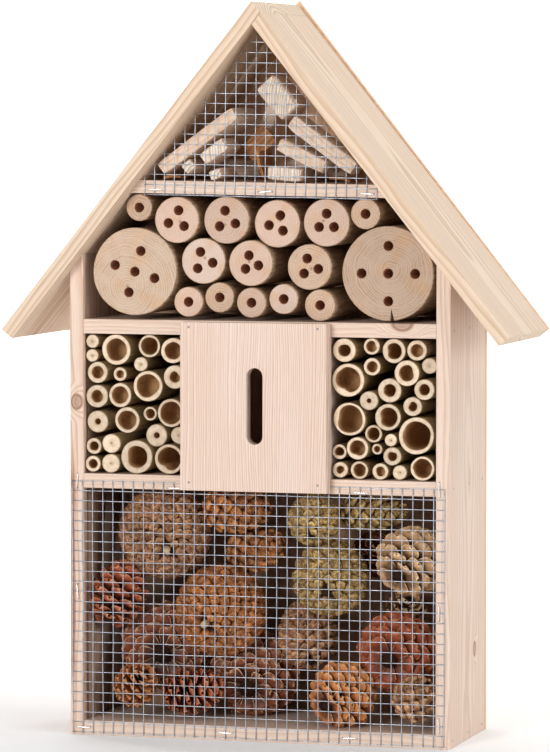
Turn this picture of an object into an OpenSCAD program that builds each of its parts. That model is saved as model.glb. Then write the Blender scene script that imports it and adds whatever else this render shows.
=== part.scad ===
// Insect hotel: a small gabled timber case with a butterfly chamber, drilled logs,
// reeds, loose cones and offcuts behind welded wire mesh.
// +Z is up, the open front faces -Y, and the origin is under the middle of the whole model.

/* [Case] */
// Outside width across the two side panels
case_w = 246; // [244:1:250]
// Depth of the side panels and shelves, front edge to back edge
case_d = 91; // [88:1:100]
// Thickness of the case boards
board_t = 9; // [8:0.5:10]
// Thickness of the back panel
back_t = 5; // [4:0.5:8]
// Height of the lower shelf's top face
lower_shelf_z = 165; // [163:0.5:167]
// Height of the middle shelf's top face
middle_shelf_z = 262; // [260:0.5:264]
// Height of the attic floor's top face, at the centre line
attic_floor_z = 348; // [347:0.5:352]
// Thickness of the attic floor
attic_floor_t = 8; // [6:0.5:9]
// How far the attic floor leans down to the right, in degrees
attic_tilt = 0.8; // [0:0.1:1]
// Thickness of the two dividers beside the butterfly chamber
divider_t = 8; // [6:0.5:9]
// Outer face of the left divider, left of the centre line
divider_left_x = 43.5; // [43:0.5:45]
// Outer face of the right divider, right of the centre line
divider_right_x = 46.5; // [46:0.5:47]

/* [Roof] */
// Height of the ridge
ridge_z = 459.5; // [455:0.5:465]
// Width across the two eaves
roof_w = 327; // [320:1:336]
// Slope of the roof, in degrees
roof_slope = 51.3; // [51:0.1:52]
// Thickness of the roof boards
roof_t = 9; // [8:0.5:10]
// How far the roof stands out in front of the case
overhang = 14; // [12:1:20]
// How far the back panel's peak stands above the ridge
back_peak = 2.5; // [0:0.5:4]

/* [Butterfly panel] */
// Width of the panel
panel_w = 94; // [92:1:96]
// Thickness of the panel
panel_t = 9; // [7:0.5:10]
// Height of the panel's lower edge
panel_low_z = 157; // [156.5:0.5:158]
// Height of the panel's upper edge
panel_high_z = 261.5; // [260:0.5:262]
// Length of the entrance slot, over its round ends
slot_len = 47.5; // [30:0.5:60]
// Width of the entrance slot
slot_w = 10.5; // [8:0.5:12]
// Height of the middle of the slot
slot_z = 210; // [205:1:215]
// Sideways place of the slot
slot_x = 1; // [-2:0.5:2]

/* [Wire mesh] */
// Diameter of the wires
wire_d = 0.7; // [0.5:0.05:0.9]
// Spacing of the horizontal wires
mesh_pitch_z = 6.35; // [6.3:0.05:6.4]
// Spacing of the vertical wires of the lower mesh
lower_pitch_x = 6.69; // [6.65:0.01:6.7]
// Spacing of the vertical wires of the attic mesh
attic_pitch_x = 6.5; // [6.3:0.05:6.6]

/* [Nests] */
// Diameter of the holes drilled in the logs
nest_hole_d = 6; // [5:0.5:7]
// Depth of the holes drilled in the logs
nest_hole_depth = 60; // [40:5:70]
// Length of the logs
log_len = 84; // [70:1:84]
// Length of the reeds
reed_len = 82; // [70:1:84]
// Least thickness of a reed's wall
reed_wall = 0.8; // [0.6:0.1:1.2]
// Least gap between neighbouring logs or reeds
fill_gap = 0.3; // [0.2:0.1:0.6]

/* [Fasteners] */
// Diameter of the nails
nail_d = 1.5; // [1.2:0.1:1.8]
// Diameter of the holes that the nails fill
nail_hole_d = 1.6; // [1.3:0.1:1.9]
// Length of the nails in the sides
side_nail_len = 25; // [20:1:28]
// Length of the nails in the back panel
back_nail_len = 18; // [14:1:22]
// Length of the nails in the ridge and the dividers
inner_nail_len = 22; // [18:1:26]
// How far the panel's brads go into the shelves
brad_grip = 12; // [8:1:16]
// Length of the staples' crowns
staple_w = 10; // [9:0.5:10.5]
// Depth of the staples' legs in the wood
staple_leg = 6; // [4:0.5:7]
// Thickness of the staples' wire
staple_t = 0.7; // [0.5:0.1:0.8]

/* [Hanger] */
// Width of the hanger plate
hanger_w = 44; // [40:1:50]
// Height of the hanger plate
hanger_h = 16; // [14:1:18]
// Thickness of the hanger plate
hanger_t = 1.5; // [1:0.5:2]
// Diameter of the hanging hole
hanger_hole_d = 8; // [6:0.5:9]
// Height of the hanging hole
hanger_z = 395; // [385:1:405]
// Spacing of the two screws
hanger_screw_gap = 32; // [28:1:36]

/* [Hidden] */
$fn = 48;

// Case
front_y = -(case_d + back_t - overhang) / 2;
half_w = case_w / 2;
inner_half_w = half_w - board_t;
lower_shelf_low_z = lower_shelf_z - board_t;
middle_shelf_low_z = middle_shelf_z - board_t;

// Roof: eave corners, the inner apex and where the left board's end meets the right slope
roof_half_w = roof_w / 2;
roof_len = roof_half_w / cos(roof_slope);
inner_ridge_z = ridge_z - roof_t / cos(roof_slope);
left_in = roof_t * [sin(roof_slope), -cos(roof_slope)];
right_in = roof_t * [-sin(roof_slope), -cos(roof_slope)];
left_eave = [-roof_half_w, ridge_z - roof_half_w * tan(roof_slope)];
right_eave = [roof_half_w, ridge_z - roof_half_w * tan(roof_slope)];
lap_len = roof_t / sin(2 * roof_slope);
lap_point = [0, ridge_z] + lap_len * [cos(roof_slope), -sin(roof_slope)];
function roof_under_z(x) = inner_ridge_z - abs(x) * tan(roof_slope);

// Wire mesh: the horizontal wires lie behind the vertical ones
wire_gap = 0.05;
row_y = -wire_gap - wire_d / 2;
column_y = row_y - wire_d - wire_gap;
mesh_front_y = column_y - wire_d / 2;
mesh_end = 0.5;
lower_mesh_x = -121.2;
lower_mesh_z = 1.7;
lower_columns = 36;
lower_rows = 25;
attic_mesh_x = -73;
attic_mesh_drop = 0.8;
attic_mesh_z = attic_floor_z - attic_floor_t - attic_mesh_drop;
attic_columns = 23;
attic_rows = 16;
attic_wire_gap = 3;
attic_wire_least = 2;

// Staples over the lower mesh: [column, row, across], a half step between wires
lower_staples_at = [
    [10.0, 24.5, true], [28.0, 24.5, true],
    [0.5, 25.0, false], [0.5, 14.0, false], [35.5, 25.0, false], [35.5, 13.0, false],
    [35.5, 2.0, false], [1.0, 0.5, true], [15.0, 0.5, true], [27.0, 0.5, true]
];
// Staples over the attic mesh: [column, row, across]
attic_staples_at = [[1.0, 0.5, true], [12.0, 0.5, true], [22.0, 0.5, true]];

// Nails: heights of the three rows in the sides, and their three places along each row
side_nail_z = [board_t / 2, lower_shelf_z - board_t / 2, middle_shelf_z - board_t / 2];
side_nail_y = [9, 48, 84];
back_side_nail_z = [30, 110, 200, 280];
back_shelf_nail_x = 76;
back_attic_nail_x = 43;
back_roof_nail_at = [60, 150, 235];
ridge_nail_y = [0, 40, 80];
ridge_nail_inset = 6.5;
divider_nail_y = [22, 68];

// Hanger: its screws, and the pocket behind its hole for the head of the wall screw
screw_head_r = 2.8;
screw_shank_r = 1.2;
screw_len = 4.5;
screw_clearance = 0.05;
pocket_floor_t = 1.5;
pocket_margin = 2;

panel_brad_x = 41.5;
panel_brad_z = [panel_low_z + 5, panel_high_z - 3];

// Logs: [across, up, radius, holes, hole ring radius, hole ring turn, recess of the face]
large_logs = [
    [-80.5, 292, 28.5, 4, 13.5, 73, 1.5],
    [83, 292.5, 29.5, 4, 17, 90, 2]
];
medium_logs = [
    [-53, 324.5, 15, 3, 6, 80, 2],
    [-21, 324.5, 15, 3, 6, 100, 3],
    [11.5, 322.5, 15, 3, 5.5, 70, 4],
    [43.5, 323.5, 15, 3, 5.5, 90, 2.5],
    [-36, 299, 14.5, 3, 6, 110, 3],
    [-5, 298, 14.5, 3, 5, 105, 2],
    [32.5, 296, 14.5, 3, 5.5, 108, 3.5]
];
small_logs = [
    [-78, 332, 8.5, 1, 0, 0, 3],
    [68.5, 329, 9.5, 1, 0, 0, 2],
    [-45.5, 273.5, 9.5, 1, 0, 0, 2],
    [-25.5, 276.5, 9.5, 1, 0, 0, 3],
    [-4.5, 273.5, 9.5, 1, 0, 0, 1.5],
    [16, 276, 9.5, 1, 0, 0, 2.5],
    [39.5, 272.5, 10, 1, 0, 0, 2]
];
all_logs = concat(large_logs, medium_logs, small_logs);

// Reeds: [across, up, radius, bore radius, recess of the end]
left_reed_list = [
    [-109, 248, 4.5, 1, 3], [-109.5, 239, 4.5, 1, 4], [-93, 243, 10, 7, 2], [-71.5, 245.5, 8, 5.5, 3],
    [-55.5, 243, 8.5, 5.5, 1.5], [-105.5, 228.5, 7.5, 4, 2.5], [-91.5, 227.5, 4.5, 2.5, 5],
    [-77.5, 234, 5, 1, 4], [-54.5, 226.5, 7.5, 3.5, 2], [-72, 220.5, 10.5, 7.5, 1.5],
    [-106, 213.5, 7.5, 4, 3], [-90.5, 214.5, 8, 5.5, 2], [-106, 197.5, 7, 2, 4],
    [-86, 199, 8.5, 6, 2.5], [-72, 203, 4.5, 3, 6], [-57, 204, 9.5, 7, 2],
    [-67.5, 189.5, 7.5, 2, 5], [-52, 190, 6, 1, 3], [-108.5, 182, 5.5, 3, 4],
    [-96.5, 184, 6.5, 1, 2.5], [-108.5, 171, 5.5, 3, 2], [-97, 171.5, 6.5, 1, 3],
    [-79.5, 176, 11, 7, 1.5], [-58.5, 175, 10, 7.5, 2.5]
];
right_reed_list = [
    [55, 245, 7.5, 4, 2], [72, 247.5, 5.5, 3.5, 4], [86.5, 245, 8, 5, 2.5], [101, 245.5, 6.5, 4, 3],
    [108.5, 236, 5, 1, 5], [57.5, 226.5, 10.5, 8, 2], [72.5, 235, 5.5, 3.5, 3],
    [95, 231.5, 8.5, 5, 1.5], [83.5, 220.5, 8, 4, 4], [106, 221.5, 7, 3.5, 2],
    [70.5, 214, 6.5, 1.5, 3], [58.5, 202.5, 11.5, 8.5, 1.5], [82.5, 204, 9, 6, 3.5],
    [98.5, 211, 6.5, 3, 2], [101, 193, 12, 9, 2], [73, 193.5, 6, 4, 5], [84.5, 190, 4.5, 1, 3],
    [63.5, 184.5, 7.5, 5, 2], [51.5, 182, 5, 3, 4], [75, 184, 3.5, 2, 6], [85.5, 180, 6.5, 3, 3],
    [52.5, 171, 5, 2.5, 2], [64.5, 171, 6.5, 4, 3], [78, 170.5, 5.5, 3, 2.5],
    [90, 170, 5, 1, 4], [105, 173, 8.5, 6, 1.5]
];

// Cones: [across, from the front, up, radius, half length, turn about Z, lean from upright]
cones = [
    [-71.5, 35, 127, 28, 30, 200, 70], [-96.7, 19.5, 88.5, 16.5, 20, 150, 30],
    [-23.5, 32.5, 142, 13.5, 21.5, 90, 88], [-16, 50.5, 115, 13.5, 19, 80, 75],
    [-31, 28.5, 79, 27.5, 27.5, 170, 75], [-75, 48, 53, 26.5, 23.5, 190, 80],
    [-17.5, 57.5, 35.9, 26, 24, 180, 70], [-84, 14, 31.5, 12.5, 13.5, 60, 50],
    [32, 16.5, 139, 15, 16, 180, 50], [65, 32.5, 142.5, 10, 22, 90, 88],
    [54.5, 75, 112, 13.5, 15.5, 20, 60], [93.5, 21, 115, 20, 19.5, 160, 60],
    [41, 23.5, 102, 21.5, 22.5, 185, 70], [19.5, 47, 63.5, 17.5, 22, 200, 40],
    [81.5, 36.5, 55.5, 23.5, 21.5, 175, 80], [50.5, 20.5, 29.5, 19.5, 19, 150, 70],
    [98, 14.5, 29, 12.5, 13.5, 90, 40], [-48.5, 22.5, 27.5, 14, 18.5, 100, 80],
    [76.5, 67, 76.5, 14, 15, 30, 50]
];

cone_steps = 12;
cone_swell = 0.12;
cone_widest = 1.01;

// Attic planks and blocks: [across, up, length, thickness, turn, front, back]
attic_planks = [
    [-40, 373.5, 60, 9, 36, 3, 50],
    [39.5, 371.2, 50, 10, -36, 6, 30],
    [26.5, 364.5, 33, 9, -26, 5, 50]
];
attic_block_list = [
    [-30, 367, 18, 8.5, 36, 4, 34], [-46.5, 357.6, 7.5, 7.5, 40, 5, 40],
    [-28.5, 353, 8, 6, 20, 3, 38], [16, 353.2, 22, 8.8, -4, 4, 40], [10, 400.5, 25.5, 15.6, -49, 8, 36],
    [-8, 388, 30, 9, 70, 52, 86], [22, 356, 40, 12, 0, 56, 88], [-40, 356, 44, 12, 0, 64, 88]
];
attic_bark_list = [
    [-14, 368.2, 29, 15, 45, 36, 39], [-10, 361, 20, 2.5, 80, 6, 34], [-17, 355, 12, 2.5, 40, 8, 44],
    [-2, 359, 16, 2.5, -78, 8, 36], [-58, 351.5, 10, 2, 4, 8, 30], [50, 350.5, 12, 2, -6, 8, 30]
];

// Largest radius that keeps item i of a list clear of all its neighbours
function clear_radius(list, i) = min([
    for (j = [0:len(list) - 1])
        let (reach = norm([list[i][0] - list[j][0], list[i][1] - list[j][1]]) - fill_gap)
            j == i ? list[i][2] : list[i][2] * min(1, reach / (list[i][2] + list[j][2]))
]);

// Largest radius that also keeps item i inside a bay: [left, right, low, high]
function bay_radius(list, i, bay) = min(
    clear_radius(list, i),
    list[i][0] - bay[0] - fill_gap,
    bay[1] - list[i][0] - fill_gap,
    list[i][1] - bay[2] - fill_gap,
    bay[3] - list[i][1] - fill_gap
);

left_bay = [-inner_half_w, -divider_left_x, lower_shelf_z, middle_shelf_low_z];
right_bay = [divider_right_x, inner_half_w, lower_shelf_z, middle_shelf_low_z];
log_headroom = 0.2;
function log_bay(x) = [
    -inner_half_w, inner_half_w, middle_shelf_z,
    attic_floor_z - attic_floor_t - x * tan(attic_tilt) - log_headroom
];

module at_front() {
    translate([0, front_y, 0]) children();
}

// A board with the given outline across and up, from one depth to another
module board(outline, near_y, far_y) {
    translate([0, far_y, 0]) rotate([90, 0, 0]) linear_extrude(far_y - near_y) polygon(outline);
}

// A round bar that runs towards the back
module bar_back(x, near_y, z, length, radius) {
    translate([x, near_y, z]) rotate([-90, 0, 0]) cylinder(h = length, r = radius);
}

// A bar of rectangular section turned about the depth direction
module stick(x, z, length, thickness, turn, near_y, far_y) {
    translate([x, near_y, z]) rotate([0, -turn, 0])
        translate([-length / 2, 0, -thickness / 2]) cube([length, far_y - near_y, thickness]);
}

// Fasteners

module side_nails(d) {
    for (side = [-1, 1], z = side_nail_z, y = side_nail_y)
        translate([side * half_w, y, z]) rotate([0, -90 * side, 0]) cylinder(h = side_nail_len, d = d);
}

module back_nails(d) {
    for (side = [-1, 1], z = back_side_nail_z)
        back_nail(side * (half_w - board_t / 2), z, d);
    for (side = [-1, 1], z = side_nail_z)
        back_nail(side * back_shelf_nail_x, z, d);
    for (x = [-back_attic_nail_x, back_attic_nail_x])
        back_nail(x, attic_floor_z - attic_floor_t / 2 - x * tan(attic_tilt), d);
    for (side = [-1, 1], at = back_roof_nail_at) {
        inward = side < 0 ? left_in : right_in;
        spot = [0, ridge_z] + at * [side * cos(roof_slope), -sin(roof_slope)] + inward / 2;
        back_nail(spot[0], spot[1], d);
    }
}

module back_nail(x, z, d) {
    translate([x, case_d + back_t, z]) rotate([90, 0, 0]) cylinder(h = back_nail_len, d = d);
}

module ridge_nails(d) {
    start = [0, ridge_z] - ridge_nail_inset * [cos(roof_slope), sin(roof_slope)];
    for (y = ridge_nail_y)
        translate([start[0], y, start[1]]) rotate([0, 180 - roof_slope, 0])
            cylinder(h = inner_nail_len, d = d);
}

module divider_nails(d) {
    for (x = [-divider_left_x + divider_t / 2, divider_right_x - divider_t / 2], y = divider_nail_y) {
        translate([x, y, middle_shelf_z - inner_nail_len]) cylinder(h = inner_nail_len, d = d);
        translate([x, y, lower_shelf_low_z]) cylinder(h = inner_nail_len, d = d);
    }
}

module brads(d) {
    for (side = [-1, 1], z = panel_brad_z)
        bar_back(side * panel_brad_x, mesh_front_y - panel_t, z, panel_t + brad_grip, d / 2);
}

module staple(x, z, across) {
    translate([x, mesh_front_y - wire_gap, z]) rotate([0, across ? 0 : 90, 0]) difference() {
        translate([-staple_w / 2, -staple_t, -staple_t / 2])
            cube([staple_w, staple_t + wire_gap - mesh_front_y + staple_leg, staple_t]);
        translate([-staple_w / 2 + staple_t, 0, -staple_t])
            cube([staple_w - 2 * staple_t, 2 * staple_leg, 2 * staple_t]);
    }
}

module staple_holes(x, z, across) {
    hole = staple_t + 2 * wire_gap;
    for (end = [-1, 1])
        translate([x, 0, z]) rotate([0, across ? 0 : 90, 0])
            translate([end * (staple_w - staple_t) / 2 - hole / 2, -1, -hole / 2])
                cube([hole, staple_leg + 1 + 2 * wire_gap, hole]);
}

module each_lower_staple(holes = false) {
    for (at = lower_staples_at) {
        x = lower_mesh_x + at[0] * lower_pitch_x;
        z = lower_mesh_z + at[1] * mesh_pitch_z;
        if (holes) staple_holes(x, z, at[2]);
        else staple(x, z, at[2]);
    }
}

module each_attic_staple(holes = false) {
    on_attic_floor() for (at = attic_staples_at) {
        x = attic_mesh_x + at[0] * attic_pitch_x;
        z = attic_mesh_z + at[1] * mesh_pitch_z;
        if (holes) staple_holes(x, z, at[2]);
        else staple(x, z, at[2]);
    }
}

// Case

side_outline = [
    [inner_half_w, 0], [half_w, 0],
    [half_w, roof_under_z(half_w)], [inner_half_w, roof_under_z(inner_half_w)]
];

module side_panel(side) {
    color("#ecd9c2") at_front() difference() {
        board([for (p = side_outline) [side * p[0], p[1]]], 0, case_d);
        side_nails(nail_hole_d);
        back_nails(nail_hole_d);
        each_lower_staple(true);
    }
}

module flat_board(half_width, low_z, thickness) {
    translate([-half_width, 0, low_z]) cube([2 * half_width, case_d, thickness]);
}

module bottom_board() {
    color("#e6cdb2") at_front() difference() {
        flat_board(inner_half_w, 0, board_t);
        side_nails(nail_hole_d);
        back_nails(nail_hole_d);
        each_lower_staple(true);
    }
}

module lower_shelf() {
    color("#ecd6bf") at_front() difference() {
        flat_board(inner_half_w, lower_shelf_low_z, board_t);
        side_nails(nail_hole_d);
        back_nails(nail_hole_d);
        divider_nails(nail_hole_d);
        brads(nail_hole_d);
        each_lower_staple(true);
    }
}

module middle_shelf() {
    color("#ecd6bf") at_front() difference() {
        flat_board(inner_half_w, middle_shelf_low_z, board_t);
        side_nails(nail_hole_d);
        back_nails(nail_hole_d);
        divider_nails(nail_hole_d);
        brads(nail_hole_d);
    }
}

// Turns the attic's parts with its floor, about the floor's middle
module on_attic_floor() {
    translate([0, 0, attic_floor_z]) rotate([0, attic_tilt, 0])
        translate([0, 0, -attic_floor_z]) children();
}

// Where a line that leans with the attic floor meets the underside of the roof
function floor_end(z, side) =
    let (x = side * (inner_ridge_z - z) / (tan(roof_slope) - side * tan(attic_tilt)))
        [x, z - x * tan(attic_tilt)];

module attic_floor() {
    low_z = attic_floor_z - attic_floor_t;
    outline = [
        floor_end(low_z, -1), floor_end(low_z, 1),
        floor_end(attic_floor_z, 1), floor_end(attic_floor_z, -1)
    ];
    color("#ecd6bf") at_front() difference() {
        board(outline, 0, case_d);
        back_nails(nail_hole_d);
        each_attic_staple(true);
    }
}

module roof_board_left() {
    color("#e9d0b0") at_front() difference() {
        board([[0, ridge_z], left_eave, left_eave + left_in, lap_point], -overhang, case_d);
        back_nails(nail_hole_d);
        ridge_nails(nail_hole_d);
    }
}

module roof_board_right() {
    color("#e9d2b4") at_front() difference() {
        board([lap_point, [0, inner_ridge_z], right_eave + right_in, right_eave], -overhang, case_d);
        back_nails(nail_hole_d);
        ridge_nails(nail_hole_d);
    }
}

module back_panel() {
    outline = [
        [-half_w, 0], [half_w, 0], [half_w, roof_under_z(half_w)],
        right_eave + right_in, right_eave, [0, ridge_z + back_peak], left_eave,
        left_eave + left_in, [-half_w, roof_under_z(half_w)]
    ];
    color("#d9a874") at_front() difference() {
        board(outline, case_d, case_d + back_t);
        back_nails(nail_hole_d);
        hanger_screw_shapes(screw_clearance);
        translate([-hanger_w / 2, case_d + back_t - hanger_t, hanger_z - hanger_h / 2])
            cube([hanger_w, hanger_t + 1, hanger_h]);
        bar_back(0, case_d + pocket_floor_t, hanger_z, back_t, hanger_hole_d / 2 + pocket_margin);
    }
}

module divider(left_x) {
    color("#dcbf9c") at_front() difference() {
        translate([left_x, 0, lower_shelf_z]) cube([divider_t, case_d, middle_shelf_low_z - lower_shelf_z]);
        divider_nails(nail_hole_d);
    }
}

module butterfly_panel() {
    near_y = mesh_front_y - panel_t;
    slot_half = (slot_len - slot_w) / 2;
    color("#f0dcc6") at_front() difference() {
        translate([-panel_w / 2, near_y, panel_low_z]) cube([panel_w, panel_t, panel_high_z - panel_low_z]);
        translate([slot_x - slot_w / 2, near_y - 1, slot_z - slot_half])
            cube([slot_w, panel_t + 2, 2 * slot_half]);
        for (end = [-1, 1])
            bar_back(slot_x, near_y - 1, slot_z + end * slot_half, panel_t + 2, slot_w / 2);
        brads(nail_hole_d);
    }
}

module hanger_plate() {
    color("silver") at_front() difference() {
        translate([-hanger_w / 2, case_d + back_t - hanger_t, hanger_z - hanger_h / 2])
            cube([hanger_w, hanger_t, hanger_h]);
        bar_back(0, case_d, hanger_z, back_t + 1, hanger_hole_d / 2);
        hanger_screw_shapes(screw_clearance);
    }
}

// Countersunk wood screws, or with a clearance the holes that they fill
module hanger_screw_shapes(clearance) {
    for (side = [-1, 1])
        translate([side * hanger_screw_gap / 2, case_d + back_t, hanger_z]) rotate([90, 0, 0]) {
            cylinder(h = hanger_t, r1 = screw_head_r + clearance, r2 = screw_shank_r + clearance);
            cylinder(h = screw_len + clearance, r = screw_shank_r + clearance);
        }
}

module hanger_screws() {
    color("gray") at_front() hanger_screw_shapes(0);
}

module nails() {
    color("#8d7f70") at_front() {
        side_nails(nail_d);
        back_nails(nail_d);
        ridge_nails(nail_d);
        divider_nails(nail_d);
        brads(nail_d);
    }
}

// Mesh and staples

module lower_mesh() {
    width = lower_columns * lower_pitch_x;
    height = lower_rows * mesh_pitch_z;
    color("#9aa3ad") at_front() {
        for (k = [0:lower_columns])
            translate([lower_mesh_x + k * lower_pitch_x, column_y, lower_mesh_z - mesh_end])
                cylinder(h = height + 2 * mesh_end, d = wire_d);
        for (k = [0:lower_rows])
            translate([lower_mesh_x - mesh_end, row_y, lower_mesh_z + k * mesh_pitch_z])
                rotate([0, 90, 0]) cylinder(h = width + 2 * mesh_end, d = wire_d);
    }
}

module attic_mesh() {
    color("#9aa3ad") at_front() on_attic_floor() {
        for (k = [0:attic_columns]) {
            x = attic_mesh_x + k * attic_pitch_x;
            top_z = roof_under_z(x) - attic_wire_gap;
            if (top_z > attic_mesh_z + attic_wire_least)
                translate([x, column_y, attic_mesh_z - mesh_end])
                    cylinder(h = top_z - attic_mesh_z + mesh_end, d = wire_d);
        }
        for (k = [0:attic_rows]) {
            z = attic_mesh_z + k * mesh_pitch_z;
            reach = (inner_ridge_z - z) / tan(roof_slope) - attic_wire_gap;
            left_x = max(-reach, attic_mesh_x - mesh_end);
            right_x = min(reach, attic_mesh_x + attic_columns * attic_pitch_x + mesh_end);
            if (reach > attic_wire_least)
                translate([left_x, row_y, z]) rotate([0, 90, 0])
                    cylinder(h = right_x - left_x, d = wire_d);
        }
    }
}

module staples() {
    color("white") at_front() {
        each_attic_staple();
        each_lower_staple();
    }
}

// Nests

module log_with_holes(i) {
    spec = all_logs[i];
    ring = spec[3];
    near_y = spec[6];
    color("#e3c9b2") at_front() difference() {
        bar_back(spec[0], near_y, spec[1], log_len, bay_radius(all_logs, i, log_bay(spec[0])));
        if (ring != 3)
            bar_back(spec[0], near_y - 1, spec[1], nest_hole_depth + 1, nest_hole_d / 2);
        if (ring > 1)
            for (k = [0:ring - 1])
                let (turn = spec[5] + k * 360 / ring)
                    bar_back(
                        spec[0] + spec[4] * cos(turn), near_y - 1, spec[1] + spec[4] * sin(turn),
                        nest_hole_depth + 1, nest_hole_d / 2
                    );
    }
}

module reeds(list, bay) {
    color("#e8d5b5") at_front() for (i = [0:len(list) - 1])
        let (reed = list[i], radius = bay_radius(list, i, bay))
            difference() {
                bar_back(reed[0], reed[4], reed[1], reed_len, radius);
                bar_back(
                    reed[0], reed[4] - 1, reed[1], reed_len + 2, min(reed[3], radius - reed_wall)
                );
            }
}

// Loose fill

// A cone's outer shape: an egg about its own axis, wider towards its stalk
module cone_body(radius, half_len) {
    rotate_extrude() polygon([
        for (k = [0:cone_steps])
            let (t = k * 180 / cone_steps)
                [
                    k % cone_steps == 0 ? 0 : radius * sin(t) * (1 + cone_swell * cos(t)) / cone_widest,
                    -half_len * cos(t)
                ]
    ]);
}

module pine_cone(i) {
    spec = cones[i];
    color("#a5713f") at_front() translate([spec[0], spec[1], spec[2]]) rotate([spec[6], 0, spec[5]])
        cone_body(spec[3], spec[4]);
}

module attic_stick(spec) {
    stick(spec[0], spec[1], spec[2], spec[3], spec[4], spec[5], spec[6]);
}

module attic_plank(i) {
    color("#e9cfa8") at_front() attic_stick(attic_planks[i]);
}

module attic_blocks() {
    color("#e6c9a4") at_front() for (spec = attic_block_list) attic_stick(spec);
}

module attic_bark() {
    color("#b5713a") at_front() for (spec = attic_bark_list) attic_stick(spec);
}

side_panel(-1);  // left_side_panel
side_panel(1);  // right_side_panel
bottom_board();
lower_shelf();
middle_shelf();
attic_floor();
roof_board_left();
roof_board_right();
back_panel();
divider(-divider_left_x);  // divider_left
divider(divider_right_x - divider_t);  // divider_right
butterfly_panel();
hanger_plate();
hanger_screws();
nails();
attic_mesh();
lower_mesh();
staples();
reeds(left_reed_list, left_bay);  // left_reeds
reeds(right_reed_list, right_bay);  // right_reeds
attic_plank(0);  // attic_plank_left
attic_plank(1);  // attic_plank_right
attic_plank(2);  // attic_plank_low
attic_blocks();
attic_bark();
for (i = [1:len(large_logs)])
    log_with_holes(i - 1);
for (i = [1:len(medium_logs)])
    log_with_holes(len(large_logs) + i - 1);
for (i = [1:len(small_logs)])
    log_with_holes(len(large_logs) + len(medium_logs) + i - 1);
for (i = [1:len(cones)])
    pine_cone(i - 1);
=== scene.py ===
"""Looks of the insect hotel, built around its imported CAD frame.
Lengths are in metres; a name that ends in _mm is in millimetres."""
import math
import random

import bmesh
import bpy
import numpy as np
from mathutils import Matrix, Vector, noise
from mathutils.geometry import delaunay_2d_cdt


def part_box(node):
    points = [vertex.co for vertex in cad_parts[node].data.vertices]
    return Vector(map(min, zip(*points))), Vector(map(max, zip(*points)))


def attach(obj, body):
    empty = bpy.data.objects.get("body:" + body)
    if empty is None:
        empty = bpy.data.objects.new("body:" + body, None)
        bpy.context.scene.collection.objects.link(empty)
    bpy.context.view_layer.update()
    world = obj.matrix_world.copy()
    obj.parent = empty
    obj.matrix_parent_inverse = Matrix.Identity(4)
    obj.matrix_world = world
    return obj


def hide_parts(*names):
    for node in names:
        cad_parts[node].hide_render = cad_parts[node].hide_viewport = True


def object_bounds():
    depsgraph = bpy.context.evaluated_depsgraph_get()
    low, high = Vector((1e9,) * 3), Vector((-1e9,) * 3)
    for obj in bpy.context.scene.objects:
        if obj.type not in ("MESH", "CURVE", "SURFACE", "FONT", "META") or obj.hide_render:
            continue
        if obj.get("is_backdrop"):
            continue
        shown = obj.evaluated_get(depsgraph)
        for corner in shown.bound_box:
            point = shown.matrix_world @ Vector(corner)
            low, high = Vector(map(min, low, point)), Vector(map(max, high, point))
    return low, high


MM = 0.001
TAU = 2 * math.pi
GOLDEN_TURN = math.pi * (3 - math.sqrt(5))

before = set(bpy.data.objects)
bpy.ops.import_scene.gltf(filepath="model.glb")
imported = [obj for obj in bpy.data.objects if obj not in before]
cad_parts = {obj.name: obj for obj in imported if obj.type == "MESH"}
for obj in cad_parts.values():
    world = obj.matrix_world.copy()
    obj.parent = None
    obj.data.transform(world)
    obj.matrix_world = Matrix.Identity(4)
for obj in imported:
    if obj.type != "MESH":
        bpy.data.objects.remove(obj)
cad_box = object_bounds()


# Shader building

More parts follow.
